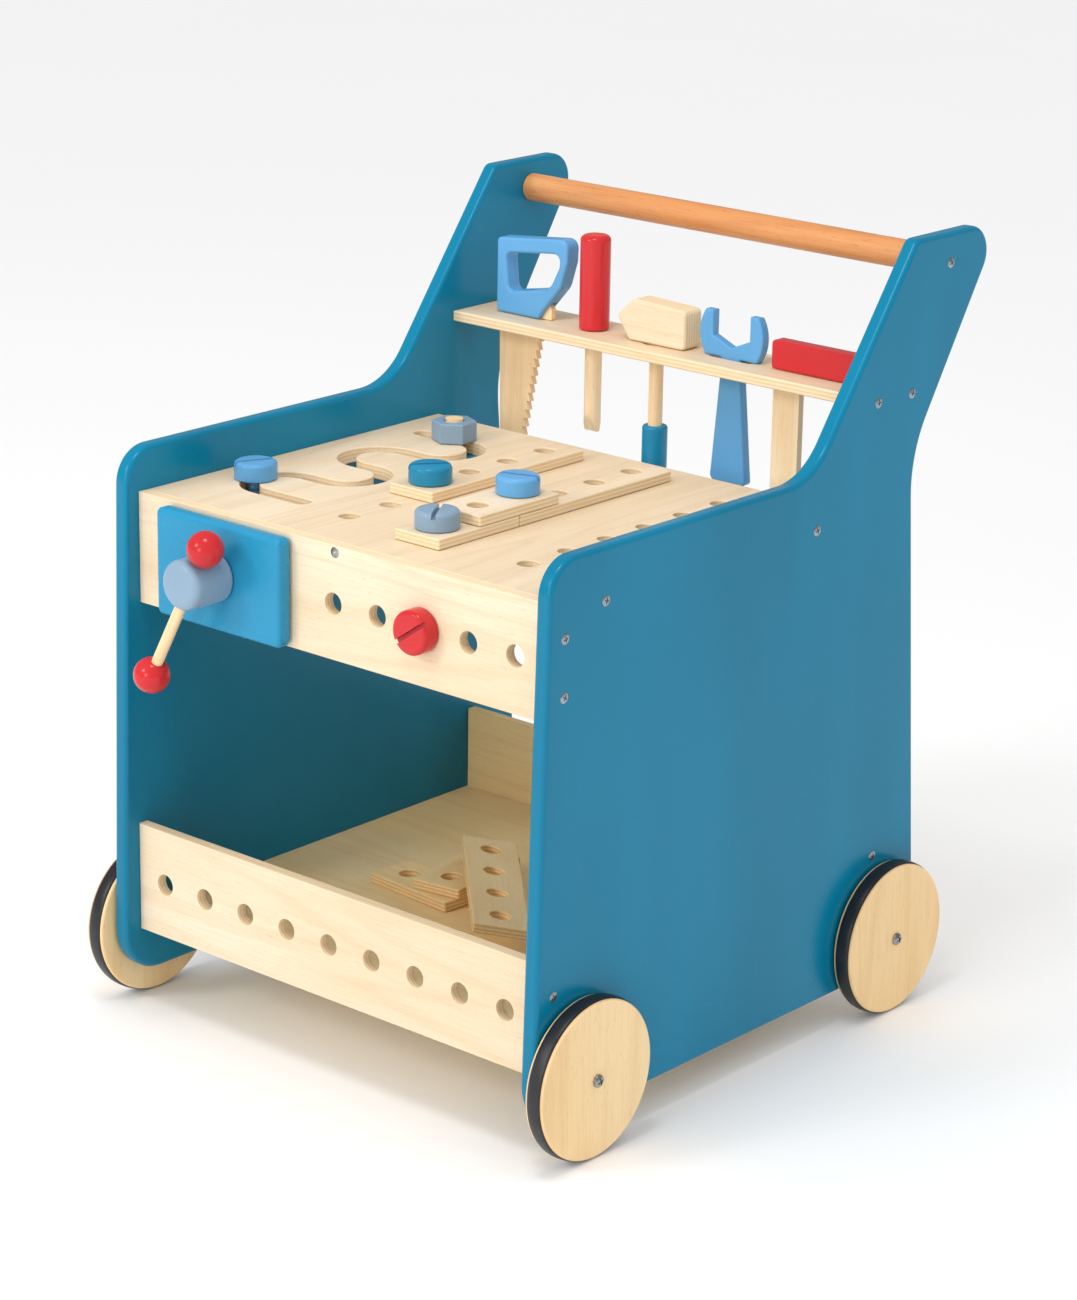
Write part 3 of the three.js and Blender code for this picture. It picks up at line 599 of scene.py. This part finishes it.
uprightBoard("front_apron", [*holeRow(apron), *viseHoles])
uprightBoard("front_rail", holeRow(rail))
# the rear rail wears the brightened ply copy, whose extra brightness is painted light
uprightBoard("rear_rail", [], "innerPly")

# the shelf wears the brightened ply copy, whose extra brightness is painted light
shelfLow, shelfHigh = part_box("bottom_shelf")
piece("bottom_shelf", slab(
    "bottom_shelf",
    [rectLoop(shelfLow.x / mm, shelfHigh.x / mm, shelfLow.y / mm, shelfHigh.y / mm)],
    board["thickness"], Vector((0, 0, shelfLow.z)), flat, board["edge"], along=0), finish="innerPly")

rack = {
    "low": 449.0, "front": 331.0, "back": 387.0, "line": 358.0, "edge": 1.0,
    "roundHoles": [(-72, 7.3), (-12.5, 10.35)],  # screwdriver and hammer: place, radius
    # saw, wrench and square: from, to, half width, corner
    "slots": [(-164, -118, 4, 3), (38.3, 76.3, 5, 3), (94, 119.5, 3.85, 1)],
}
rackHoles = [circleLoop(x, rack["line"], radius) for x, radius in rack["roundHoles"]]
rackHoles += [rectLoop(start, end, rack["line"] - half, rack["line"] + half, corner)
              for start, end, half, corner in rack["slots"]]
piece("tool_rack", slab(
    "tool_rack", [rectLoop(-span, span, rack["front"], rack["back"]), *rackHoles], board["thickness"],
    place(0, 0, rack["low"]), flat, rack["edge"], along=0))

bar = {"radius": 10.25, "y": 417.0, "z": 538.5}
alongX = (Vector((0, 1, 0)), Vector((0, 0, 1)), Vector((1, 0, 0)))
piece("handle_bar", turned("handle_bar", dowelProfile(bar["radius"], -span, span, 0.5),
                           place(0, bar["y"], bar["z"]), alongX))
print("panels and boards made")

wheel = {
    "tyre": 56.2, "disc": 55.0, "groove": 51.2, "half": 7.5, "tread": 5.3, "rim": 1.8, "bore": 3.0,
    "tyreLip": 0.8, "washer": 8.5, "washerBore": 2.8, "washerThickness": 1.2, "screwHead": 4.5,
    "screwShank": 2.5, "headHeight": 3.0, "recess": (5.2, 1.0, 3.0),
}


def wheelPieces(end, side):
    way = -1 if side == "left" else 1
    axes = (Vector((0, 1, 0)), Vector((0, 0, way)), Vector((way, 0, 0)))
    corner = f"{end}_{side}"
    low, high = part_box(f"wheel_disc_{corner}")
    hub = (low + high) / 2
    w = wheel
    shoulder = w["tread"] + slip
    face = softRim(w["disc"], w["half"], w["rim"])
    backFace = [(r, -h) for r, h in reversed(face)]
    profile = [(w["bore"], -w["half"]), *backFace, (w["disc"], -shoulder), (w["groove"], -shoulder),
               (w["groove"], shoulder), (w["disc"], shoulder), *face, (w["bore"], w["half"])]
    mesh = turned(f"wheel_disc_{corner}", profile, hub, axes, 96, along=1)
    piece(f"wheel_disc_{corner}", mesh, finish="warmPly")

    crown = [(w["disc"] - 0.6 + (w["tyre"] - w["disc"] + 0.6) * math.cos(math.radians(a)) ** 0.6,
              w["tread"] * math.sin(math.radians(a))) for a in range(-84, 85, 12)]
    seat, lip = w["groove"] + slip, w["disc"] - w["tyreLip"]
    tyreProfile = [(seat, -w["tread"]), (lip, -w["tread"]), *crown, (lip, w["tread"]), (seat, w["tread"])]
    piece(f"tyre_{corner}", turned(f"tyre_{corner}", tyreProfile, hub, axes, 128))

    low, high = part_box(f"washer_{corner}")
    thick, bore, edge = w["washerThickness"] / 2, w["washerBore"], w["washer"]
    ring = [(bore, -thick), (edge - 0.3, -thick), (edge, -thick + 0.3), (edge, thick - 0.3),
            (edge - 0.3, thick), (bore, thick)]
    piece(f"washer_{corner}", turned(f"washer_{corner}", ring, (low + high) / 2, axes, 48))

    low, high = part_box(f"axle_screw_{corner}")
    length = (high.x - low.x) / mm
    tip = Vector((low.x if way > 0 else high.x, hub.y, hub.z))
    seatHeight = length - w["headHeight"]
    dome = [(w["screwHead"] * math.cos(math.radians(a)), seatHeight + 0.5 + 2.5 * math.sin(math.radians(a)))
            for a in range(0, 90, 10)]
    screw = turned(f"axle_screw_{corner}", [(0, 0), (w["screwShank"], 0), (w["screwShank"], seatHeight),
                                            (w["screwHead"] - 0.2, seatHeight), *dome, (0, length)],
                   tip, axes, 40)
    recess = [block(w["recess"], tip + axes[2] * length * mm, turnedAxes(axes, quarter * 90 + 20))
              for quarter in range(2)]
    piece(f"axle_screw_{corner}", carved(screw, *recess), weighted=False)


def turnedAxes(axes, degrees):
    turn = math.radians(degrees)
    first = axes[0] * math.cos(turn) + axes[1] * math.sin(turn)
    return (first, axes[2].cross(first), axes[2])


for end in ("front", "rear"):
    for side in ("left", "right"):
        wheelPieces(end, side)
print("wheels made")

vise = {
    "jawRound": 3.6, "jawCorner": 4.5, "knobRadius": 17.5, "knobBore": 17.0, "knobSlip": 0.4,
    "tommyTilt": 28.3, "tommyRadius": 4.0, "tommySlip": 0.35, "ball": 12.75, "ballSeat": 5.0,
    "ballMouth": 0.8, "lead": 4.0, "threadDepth": 0.9,
}


def viseJaw():
    low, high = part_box("vise_jaw")
    loops = [rectLoop(low.x / mm, high.x / mm, low.z / mm, high.z / mm, vise["jawCorner"], 8),
             circleLoop(spindle["x"], spindle["z"], spindle["radius"] + spindle["slip"])]
    piece("vise_jaw", slab("vise_jaw", loops, (high.y - low.y) / mm, Vector((0, low.y, 0)), upright,
                           vise["jawRound"], along=0, steps=6), finish="jawPaint")
    for side in ("left", "right"):
        node = f"vise_guide_{side}"
        low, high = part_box(node)
        centre = Vector(((low.x + high.x) / 2, high.y, (low.z + high.z) / 2))
        pin = dowelProfile(guide["radius"], 0, (high.y - low.y) / mm)
        piece(node, turned(node, pin, centre, towardFront))


def viseScrew():
    low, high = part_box("vise_spindle")
    bm = bmesh.new()
    length = (high.y - low.y) / mm
    threadedRod(bm, spindle["radius"], vise["threadDepth"], vise["lead"], 0, length)
    origin = Vector((spindle["x"] * mm, high.y, spindle["z"] * mm))
    piece("vise_spindle", dress(bm, "vise_spindle", origin, towardFront, 2, 2), weighted=False)

    low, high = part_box("vise_knob")
    radius, length = vise["knobRadius"], (high.y - low.y) / mm
    origin = Vector((spindle["x"] * mm, high.y, spindle["z"] * mm))
    bore, deep = spindle["radius"] + vise["knobSlip"], vise["knobBore"]
    profile = [(0, deep), (bore, deep), (bore, 0), *reversed(softRim(radius, 0, 2.4, -1)),
               *softRim(radius, length, 5.5, 1, 10), (0, length)]
    knob = turned("vise_knob", profile, origin, towardFront, 96)
    drill = vise["tommyRadius"] + vise["tommySlip"]
    hole = turned("cutter", [(0, -30), (drill, -30), (drill, 30), (0, 30)], tommyOrigin(), tommyAxes(), 48)
    piece("vise_knob", carved(knob, hole))


def tommyAxes():
    return tilted(0, 0, vise["tommyTilt"])


def tommyOrigin():
    low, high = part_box("vise_handle")
    return Vector((spindle["x"] * mm, (low.y + high.y) / 2, spindle["z"] * mm))


def tommyBar():
    # The bar's ends follow from the balls: each ball's centre lies on the bar's line.
    axes, origin = tommyAxes(), tommyOrigin()
    reach = {}
    for name, way in (("upper", 1), ("lower", -1)):
        low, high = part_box(f"vise_ball_{name}")
        middle = ((low + high) / 2 - origin).dot(axes[2]) / mm
        reach[name] = middle
        radius, seat = vise["ball"], vise["ballSeat"]
        bore = vise["tommyRadius"] + slip
        rim = bore + vise["ballMouth"]
        mouth = math.sqrt(radius ** 2 - rim ** 2)
        arcFrom = math.degrees(math.atan2(mouth, rim))
        skin = [(radius * math.cos(math.radians(a)), -radius * math.sin(math.radians(a)))
                for a in [arcFrom - (arcFrom + 90) * i / 28 for i in range(28)]]
        floor = -radius + seat + slip
        profile = [(0, floor), (bore, floor), (bore, -mouth), *skin, (0, radius)]
        facing = (axes[0], axes[1] * way, axes[2] * way)
        node = f"vise_ball_{name}"
        piece(node, turned(node, profile, origin + axes[2] * middle * mm, facing, 64))
    inset = vise["ball"] - vise["ballSeat"]
    piece("vise_handle", turned("vise_handle", dowelProfile(
        vise["tommyRadius"], reach["lower"] + inset, reach["upper"] - inset, 0.6), origin, axes, 40),
        finish="paleBeech")


def viseNut():
    low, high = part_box("vise_nut")
    loops = [rectLoop(low.x / mm, high.x / mm, low.z / mm, high.z / mm, 2.5),
             circleLoop(spindle["x"], spindle["z"], spindle["radius"] + spindle["slip"])]
    piece("vise_nut", slab("vise_nut", loops, (high.y - low.y) / mm, Vector((0, low.y, 0)), upright, 1.2,
                           along=0, steps=3))


viseJaw()
viseScrew()
tommyBar()
viseNut()
print("vise made")

bolt = {
    "head": 15.25, "headHeight": 13.0, "rim": 3.2, "underRim": 1.2, "shank": 6.5, "lead": 5.0, "depth": 0.9,
    "slotWidth": 3.2, "slotDepth": 4.0,
}


def boltMesh(name, origin, axes, shankLength, slotTurn):
    b = bolt
    head = [(0, 0), *reversed(softRim(b["head"], 0, b["underRim"], -1)),
            *softRim(b["head"], b["headHeight"], b["rim"], 1, 8), (0, b["headHeight"])]
    bm = bmesh.new()
    spin(bm, head, 72)
    mesh = dress(bm, name, origin, axes, 2, 2)
    slot = block((4 * b["head"], b["slotWidth"], 2 * b["slotDepth"]),
                 origin + axes[2] * b["headHeight"] * mm, turnedAxes(axes, slotTurn))
    headMesh = carved(mesh, slot)
    rod = bmesh.new()
    threadedRod(rod, b["shank"], b["depth"], b["lead"], -shankLength, 0.6)
    rodMesh = dress(rod, f"{name}Rod", origin, axes, 2, 2)
    return joined(name, headMesh, rodMesh)


def joined(name, *meshes):
    bm = bmesh.new()
    for mesh in meshes:
        bm.from_mesh(mesh)
    result = bpy.data.meshes.new(name)
    bm.to_mesh(result)
    bm.free()
    result.shade_smooth()
    result.set_sharp_from_angle(angle=sharpAngle)
    return result


def standingBolt(node, slotTurn):
    low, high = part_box(node)
    seat = high.z / mm - bolt["headHeight"]
    origin = Vector(((low.x + high.x) / 2, (low.y + high.y) / 2, seat * mm))
    piece(node, boltMesh(node, origin, flat, seat - low.z / mm, slotTurn), weighted=False)


for node, slotTurn in (("teal_bolt", 52), ("grey_bolt", -58), ("light_blue_bolt", 20), ("track_bolt", 65)):
    standingBolt(node, slotTurn)

low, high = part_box("red_bolt")
redSeat = Vector(((low.x + high.x) / 2, low.y + bolt["headHeight"] * mm, (low.z + high.z) / 2))
piece("red_bolt", boltMesh("red_bolt", redSeat, towardFront, (high.y - redSeat.y) / mm, 35), weighted=False)


nut = {"flats": 29.0, "height": 15.0, "bore": 6.9, "round": 1.3, "corner": 1.6}


def hexLoop(acrossFlats, turn):
    corners = arc((0, 0), acrossFlats / math.sqrt(3), turn + 30, turn + 330, 5)
    return roundedLoop([(u, v, nut["corner"]) for u, v in corners], 4)


for node, turn, middle in (("hex_nut", -55, "track_stud"), ("track_bolt_nut", 10, "track_bolt")):
    low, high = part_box(middle)
    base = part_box(node)[0].z
    origin = Vector(((low.x + high.x) / 2, (low.y + high.y) / 2, base))
    loops = [hexLoop(nut["flats"], turn), circleLoop(0, 0, nut["bore"])]
    piece(node, slab(node, loops, nut["height"], origin, flat, nut["round"], steps=4))


def trackStud():
    low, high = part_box("track_stud")
    length = (high.z - low.z) / mm
    b = bolt
    origin = Vector(((low.x + high.x) / 2, (low.y + high.y) / 2, low.z + b["headHeight"] * mm))
    head = [(0, -b["headHeight"]), *reversed(softRim(b["head"], -b["headHeight"], b["rim"], -1, 8)),
            *softRim(b["head"], 0, b["underRim"]), (0, 0)]
    bm = bmesh.new()
    spin(bm, head, 72)
    piece("track_stud", dress(bm, "track_stud", origin, flat, 2, 2))
    rod = bmesh.new()
    threadedRod(rod, b["shank"], b["depth"], b["lead"], 0.05, length - b["headHeight"])
    shank = dress(rod, "track_stud_shank", origin, flat, 2, 2)
    extra("track_stud_shank", shank, "beech", "stud", "paleBeech")


trackStud()

strip = {"width": 40.0, "thickness": 7.5, "corner": 1.5, "edge": 0.7}


def stripMesh(name, count, origin, axes):
    half = count * board["pitch"] / 2
    holes = [circleLoop(0, board["pitch"] * (i + 0.5) - half, board["hole"]) for i in range(count)]
    outline = rectLoop(-strip["width"] / 2, strip["width"] / 2, -half, half, strip["corner"], 4)
    return slab(name, [outline, *holes], strip["thickness"], origin, axes, strip["edge"], along=1)


for node, count in (("strip_long", 4), ("strip_front", 2), ("strip_rear", 4), ("strip_bridge", 2)):
    low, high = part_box(node)
    origin = Vector(((low.x + high.x) / 2, (low.y + high.y) / 2, low.z))
    piece(node, stripMesh(node, count, origin, flat))

# The loose strips lie turned: the middle of a box is the middle of the strip inside it.
# the loose strips wear the brightened ply copy, whose extra brightness is painted light
for node, count, lay in (("loose_strip_low", 2, (85.1, 0, 0)), ("loose_strip_middle", 2, (8, 0, 0)),
                         ("loose_strip_long", 4, (45, 1.2, 10))):
    low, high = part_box(node)
    axes = tilted(*lay)
    origin = (low + high) / 2 - axes[2] * strip["thickness"] / 2 * mm
    piece(node, stripMesh(node, count, origin, axes), finish="innerPly")
print("bolts and strips made")

tool = {"rest": 457.3, "line": rack["line"]}  # the rack's top face with its slip, and the tools' row


def toolSlab(node, loops, thickness, bevel, along=0, steps=4):
    back = tool["line"] - thickness / 2
    return slab(node, loops, thickness, place(0, back, 0), upright, bevel, along, steps)


saw = {
    "handleDepth": 14.0, "bladeThickness": 5.0, "tenonTop": 470.0, "back": -162.0, "shoulder": -111.0,
    "teeth": 14, "tip": 352.0, "root": 446.0, "toe": -139.0, "heel": -120.0,
}


def sawPieces():
    rest = tool["rest"]
    outline = roundedLoop([(-161.7, rest, 3.5), (-120.4, rest, 2.6), (-116.9, 463, 2), (-99.2, 483.2, 14),
                           (-93.2, 502.7, 8), (-92.6, 520.5, 7), (-161.7, 513, 3.5)], 8)
    finger = roundedLoop([(-149.6, 474, 5), (-152.7, 502.4, 5), (-116, 507, 20), (-100.6, 508.6, 5),
                          (-101.3, 498.8, 6), (-108.7, 484.4, 8), (-113.8, 480.7, 4)], 8)
    handle = toolSlab("saw_handle", [outline, finger], saw["handleDepth"], 2.2, steps=6)
    kerf = block((80, saw["bladeThickness"] + 2 * slip, 40),
                 place(saw["back"] + 3.7 + 40, tool["line"], saw["tenonTop"] + slip - 20), flat)
    piece("saw_handle", carved(handle, kerf))

    s = saw
    edge = []
    for i in range(s["teeth"]):
        z0 = s["tip"] + (s["root"] - s["tip"]) * i / s["teeth"]
        z1 = s["tip"] + (s["root"] - s["tip"]) * (i + 1) / s["teeth"]
        x0 = s["toe"] + (s["heel"] - s["toe"]) * i / s["teeth"]
        x1 = s["toe"] + (s["heel"] - s["toe"]) * (i + 1) / s["teeth"]
        edge += [(x0 - 0.4, z0, 0.0), (x0, z0 + 0.5, 0.0), (x1 - 3.0, z1 - 0.6, 0.0), (x1 - 3.2, z1, 0.0)]
    blade = roundedLoop([
        (s["back"] + 4, s["tenonTop"], 0), (s["back"] + 4, rest - 0.15, 0), (s["back"], rest - 0.15, 0),
        (s["back"] + 2, s["tip"], 2), *edge, (s["heel"], rest, 0), (s["shoulder"], rest, 1),
        (s["shoulder"], s["tenonTop"] - 4, 2), (s["shoulder"] - 4, s["tenonTop"], 0)], 5)
    piece("saw_blade", toolSlab("saw_blade", [blade], s["bladeThickness"], 0.35, along=1, steps=2),
          finish="paleBeech")


driver = {
    "x": -72.0, "radius": 11.2, "shaft": 6.3, "waist": 12.0, "tipHalf": 1.3, "slip": 0.35, "bore": 20.0,
}


def screwdriverPieces():
    low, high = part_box("screwdriver_handle")
    length = (high.z - low.z) / mm
    radius = driver["radius"]
    origin = place(driver["x"], tool["line"], low.z / mm)
    bore, deep = driver["shaft"] + driver["slip"], driver["bore"]
    body = [(0, deep), (bore, deep), (bore, 0), *reversed(softRim(radius, 0, 1.8, -1)),
            *softRim(radius, length, 4.2, 1, 8), (0, length)]
    piece("screwdriver_handle", turned("screwdriver_handle", body, origin, flat, 64))

    low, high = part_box("screwdriver_shaft")
    length = (high.z - low.z) / mm
    mesh = turned("screwdriver_shaft", [
        (0, 0), *[(driver["shaft"] * min(1.0, 0.96 + h / 120), h) for h in (0, 1, 2, 4, 6, 8, 10, 12, 14)],
        (driver["shaft"], 18), (driver["shaft"], length), (0, length)],
        place(driver["x"], tool["line"], low.z / mm), flat, 48)
    centre = place(driver["x"], tool["line"], 0).y
    for vertex in mesh.vertices:
        rise = (vertex.co.z - low.z) / mm
        if rise < driver["waist"]:
            half = driver["tipHalf"] + (driver["shaft"] - driver["tipHalf"]) * rise / driver["waist"]
            across = (vertex.co.y - centre) / mm
            vertex.co.y = centre + max(-half, min(half, across)) * mm
    piece("screwdriver_shaft", mesh, finish="paleBeech")


hammer = {"x": -12.5, "depth": 20.0, "shaft": 5.2, "grip": 9.35, "gripBottom": 346.0, "gripLength": 50.0}


def hammerPieces():
    h = hammer
    rest = tool["rest"]
    outline = roundedLoop([(-31.4, rest, 3.5), (20.3, rest, 4), (20.3, 486, 4), (-28.3, 488, 5),
                           (-42.9, 474, 3.2)], 8)
    head = toolSlab("hammer_head", [outline], h["depth"], 2.2, along=0, steps=6)
    bore, top = h["shaft"] + slip, h["gripLength"]
    eye = turned("cutter", [(0, -2), (bore, -2), (bore, 20), (0, 20)],
                 place(h["x"], tool["line"], rest), flat, 48)
    piece("hammer_head", carved(head, eye))
    low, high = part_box("hammer_shaft")
    piece("hammer_shaft", turned("hammer_shaft", dowelProfile(h["shaft"], 0, (high.z - low.z) / mm),
                                 place(h["x"], tool["line"], low.z / mm), flat, 48), finish="paleBeech")
    grip = [(0, 0), *reversed(softRim(h["grip"], 0, 4.5, -1, 8)), (h["grip"], 8),
            *softRim(h["grip"], top, 2.2), (bore, top), (bore, top - 20), (0, top - 20)]
    foot = place(h["x"], tool["line"], h["gripBottom"])
    piece("hammer_grip", turned("hammer_grip", grip, foot, flat, 64))


wrench = {
    "x": 57.3, "head": 28.5, "centre": 474.0, "brow": 490.0, "mouth": 16.3, "seat": 472.0, "notch": 465.0,
    "thickness": 8.0, "neck": 9.0, "shoulder": 447.0, "foot": 366.0, "footHalf": 17.5,
}


def wrenchPiece():
    w = wrench
    x, head, centre = w["x"], w["head"], w["centre"]
    neck, mouth, half = w["neck"], w["mouth"], w["footHalf"]
    foot = math.degrees(math.asin((tool["rest"] - centre) / head))
    brow = math.degrees(math.asin((w["brow"] - centre) / head))
    right = arc((x, centre), head, foot, brow, 20)
    left = arc((x, centre), head, 180 - brow, 180 - foot, 20)
    end = [(x - half, w["foot"], 5), (x + half, w["foot"], 5), (x + neck, w["shoulder"], 8)]
    outline = [*roundedLoop(end, 6)[:-9], (x + neck, w["shoulder"]), (x + neck, tool["rest"]), *right,
               (x + mouth, w["brow"]), (x + mouth, w["seat"]), (x, w["notch"]), (x - mouth, w["seat"]),
               (x - mouth, w["brow"]), *left, (x - neck, tool["rest"]), (x - neck, w["shoulder"])]
    piece("wrench", toolSlab("wrench", [outline], w["thickness"], 1.6, along=1, steps=4))


square = {"pin": (109.4, 468.3), "pinRadius": 2.3, "mouth": 6.3}


def squarePieces():
    low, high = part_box("square_stock")
    loops = [rectLoop(low.x / mm, high.x / mm, low.z / mm, high.z / mm, 2.6)]
    stock = slab("square_stock", loops, (high.y - low.y) / mm, Vector((0, low.y, 0)), upright, 1.8, 0, 4)
    bladeLow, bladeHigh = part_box("square_blade")
    centre = (bladeLow + bladeHigh) / 2
    slotTop = bladeHigh.z / mm + slip
    width = (bladeHigh.x - low.x) / mm + slip
    mouth = block((width + 4, square["mouth"], 40),
                  Vector((low.x + (width - 4) / 2 * mm, centre.y, (slotTop - 20) * mm)), flat)
    piece("square_stock", carved(stock, mouth))
    loops = [rectLoop(bladeLow.x / mm, bladeHigh.x / mm, bladeLow.z / mm, bladeHigh.z / mm, 1.0, 3)]
    piece("square_blade", slab("square_blade", loops, (bladeHigh.y - bladeLow.y) / mm,
                               Vector((0, bladeLow.y, 0)), upright, 0.5, along=1), finish="paleBeech")
    pinX, pinZ = square["pin"]
    depth = (high.y - low.y) / mm
    pin = turned("square_pin", dowelProfile(square["pinRadius"], 0.2, depth - 0.1, 0.3),
                 Vector((pinX * mm, high.y, pinZ * mm)), towardFront, 32)
    extra("square_pin", pin, "beech", "try_square")


sawPieces()
screwdriverPieces()
hammerPieces()
wrenchPiece()
squarePieces()
print("tools made")

screws = {
    "radius": 3.9, "crown": 0.9, "sunk": 0.25,
    "panelPlaces": [(417, 538.5), (378, 453), (339, 453), (274.7, 375.8), (53.7, 375.8), (14.6, 359.3),
                    (14.6, 320.5), (9.7, 118.4), (9.7, 80), (356.3, 118.4), (356.3, 80)],
    "apronPlaces": [(1.7, 376)],
}


def screwTree():
    # Puts a crowned head with a cross recess on every point, each turned differently.
    tree = bpy.data.node_groups.new("screwHeads", "GeometryNodeTree")
    face = tree.interface
    face.new_socket("Places", in_out="INPUT", socket_type="NodeSocketGeometry")
    for label in ("radius", "crown"):
        face.new_socket(label, in_out="INPUT", socket_type="NodeSocketFloat")
    face.new_socket("facing", in_out="INPUT", socket_type="NodeSocketVector")
    face.new_socket("finish", in_out="INPUT", socket_type="NodeSocketMaterial")
    face.new_socket("Heads", in_out="OUTPUT", socket_type="NodeSocketGeometry")
    nodes, links = tree.nodes, tree.links

    def add(kind, settings=None, inputs=None):
        node = nodes.new(kind)
        for key, value in (settings or {}).items():
            setattr(node, key, value)
        for key, value in (inputs or {}).items():
            if isinstance(value, bpy.types.NodeSocket):
                links.new(value, node.inputs[key])
            else:
                node.inputs[key].default_value = value
        return node

    entry = add("NodeGroupInput")
    ball = add("GeometryNodeMeshUVSphere", {}, {"Segments": 32, "Rings": 16, "Radius": 1.0})
    scale = add("ShaderNodeCombineXYZ", {}, {0: entry.outputs["radius"], 1: entry.outputs["radius"],
                                             2: entry.outputs["crown"]})
    dome = add("GeometryNodeTransform", {}, {"Geometry": ball.outputs["Mesh"], "Scale": scale.outputs[0]})
    arms = []
    for turn in (0.0, math.pi / 2):
        box = add("GeometryNodeMeshCube", {}, {"Size": (0.0042, 0.0009, 0.0014)})
        raised = add("GeometryNodeTransform", {}, {
            "Geometry": box.outputs["Mesh"], "Translation": (0, 0, 0.0009), "Rotation": (0, 0, turn)})
        arms.append(raised)
    cut = add("GeometryNodeMeshBoolean", {"operation": "DIFFERENCE"}, {"Mesh 1": dome.outputs["Geometry"]})
    for arm in arms:
        links.new(arm.outputs["Geometry"], cut.inputs["Mesh 2"])
    tilt = add("FunctionNodeEulerToRotation", {}, {0: entry.outputs["facing"]})
    dice = add("FunctionNodeRandomValue", {"data_type": "FLOAT"}, {"Min": 0.0, "Max": 3.0, "Seed": 7})
    twist = add("ShaderNodeCombineXYZ", {}, {2: dice.outputs[1]})
    local = add("FunctionNodeEulerToRotation", {}, {0: twist.outputs[0]})
    turn = add("FunctionNodeRotateRotation", {"rotation_space": "LOCAL"}, {
        "Rotation": tilt.outputs[0], "Rotate By": local.outputs[0]})
    spots = add("GeometryNodeInstanceOnPoints", {}, {
        "Points": entry.outputs["Places"], "Instance": cut.outputs["Mesh"], "Rotation": turn.outputs[0]})
    real = add("GeometryNodeRealizeInstances", {}, {"Geometry": spots.outputs["Instances"]})
    painted = add("GeometryNodeSetMaterial", {}, {
        "Geometry": real.outputs["Geometry"], "Material": entry.outputs["finish"]})
    add("NodeGroupOutput", {}, {"Heads": painted.outputs["Geometry"]})
    return tree


def screwHeads(name, tree, spots, facing):
    points = bpy.data.meshes.new(name)
    points.from_pydata(spots, [], [])
    shown = bpy.data.objects.new(name, points)
    bpy.context.scene.collection.objects.link(shown)
    grow = shown.modifiers.new("heads", "NODES")
    grow.node_group = tree
    values = {"radius": screws["radius"] * mm, "crown": screws["crown"] * mm, "facing": facing,
              "finish": materials["steel"]}
    for item in tree.interface.items_tree:
        if item.in_out == "INPUT" and item.name in values:
            grow[item.identifier] = values[item.name]
    shown.update_tag()
    mesh = bpy.data.meshes.new_from_object(shown.evaluated_get(bpy.context.evaluated_depsgraph_get()))
    bpy.data.objects.remove(shown)
    mesh.name = name
    grain = mesh.attributes.new("grain", "FLOAT_VECTOR", "POINT")
    for vertex, value in zip(mesh.vertices, grain.data):
        value.vector = vertex.co
    mesh.shade_smooth()
    mesh.set_sharp_from_angle(angle=sharpAngle)
    extra(name, mesh, "steel", "bench")


heads = screwTree()
outer = panel["inner"] + panel["thickness"] - screws["sunk"]
for side, way in (("left", -1), ("right", 1)):
    screwHeads(f"{side}_panel_screws", heads, [place(way * outer, y, z) for y, z in screws["panelPlaces"]],
               (0, way * math.pi / 2, 0))
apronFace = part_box("front_apron")[0].y
screwHeads("apron_screw", heads,
           [Vector((x * mm, apronFace + screws["sunk"] * mm, z * mm)) for x, z in screws["apronPlaces"]],
           (math.pi / 2, 0, 0))
print("screws made")


studio = {
    "floor": 30.0, "strength": 0.93, "mirrored": 0.3, "aim": (0, 0, 0.28),
    "lamps": {"key": ((-1.1, -2.9, 2.1), 0.8, 27), "low": ((0.3, -2.9, 0.9), 0.9, 13),  # place, size, watts
              "boom": ((0.16, -0.5, 1.6), 0.35, 5)},
}


def floorMaterial():
    finish = Finish("paleFloor")
    point = finish.add("ShaderNodeTexCoord", {}, {}, "Object")
    haze = finish.noise(finish.stretched(point, 1.5, 1.5, 1.5), 2)
    color = finish.blend(haze, tint(247, 247, 247), tint(249, 249, 249))
    return finish.surface(color, 0.6 + haze * 0.05, haze, 0.0001, **{"Specular IOR Level": 0.0})


def addFloor():
    mesh = bpy.data.meshes.new("floor")
    half = studio["floor"] / 2
    corners = [(-half, -half, 0), (half, -half, 0), (half, half, 0), (-half, half, 0)]
    mesh.from_pydata(corners, [], [(0, 1, 2, 3)])
    mesh.materials.append(floorMaterial())
    floor = bpy.data.objects.new("floor", mesh)
    bpy.context.scene.collection.objects.link(floor)


def addLight(name, spot, size, power):
    data = bpy.data.lights.new(name, "AREA")
    data.shape = "SQUARE"
    data.size = size
    data.energy = power
    lamp = bpy.data.objects.new(name, data)
    aim = (Vector(studio["aim"]) - Vector(spot)).to_track_quat("-Z", "Y")
    lamp.location = spot
    lamp.rotation_mode = "QUATERNION"
    lamp.rotation_quaternion = aim
    bpy.context.scene.collection.objects.link(lamp)


def addWorld():
    # an even white studio, dimmer in the sheen of the paint than as light
    world = bpy.data.worlds.new("studio")
    world.use_nodes = True
    nodes, links = world.node_tree.nodes, world.node_tree.links
    rays = nodes.new("ShaderNodeLightPath")
    level = nodes.new("ShaderNodeMapRange")
    for key, value in {"To Min": studio["strength"], "To Max": studio["mirrored"]}.items():
        level.inputs[key].default_value = value
    links.new(rays.outputs["Is Glossy Ray"], level.inputs["Value"])
    links.new(level.outputs["Result"], nodes["Background"].inputs["Strength"])
    nodes["Background"].inputs["Color"].default_value = (1, 1, 1, 1)
    bpy.context.scene.world = world
    bpy.context.scene.view_settings.view_transform = "Standard"


addFloor()
addWorld()
for lampName, (spot, size, power) in studio["lamps"].items():
    addLight(lampName, spot, size, power)
print("studio lit")

bpy.context.view_layer.update()
print("scene complete")
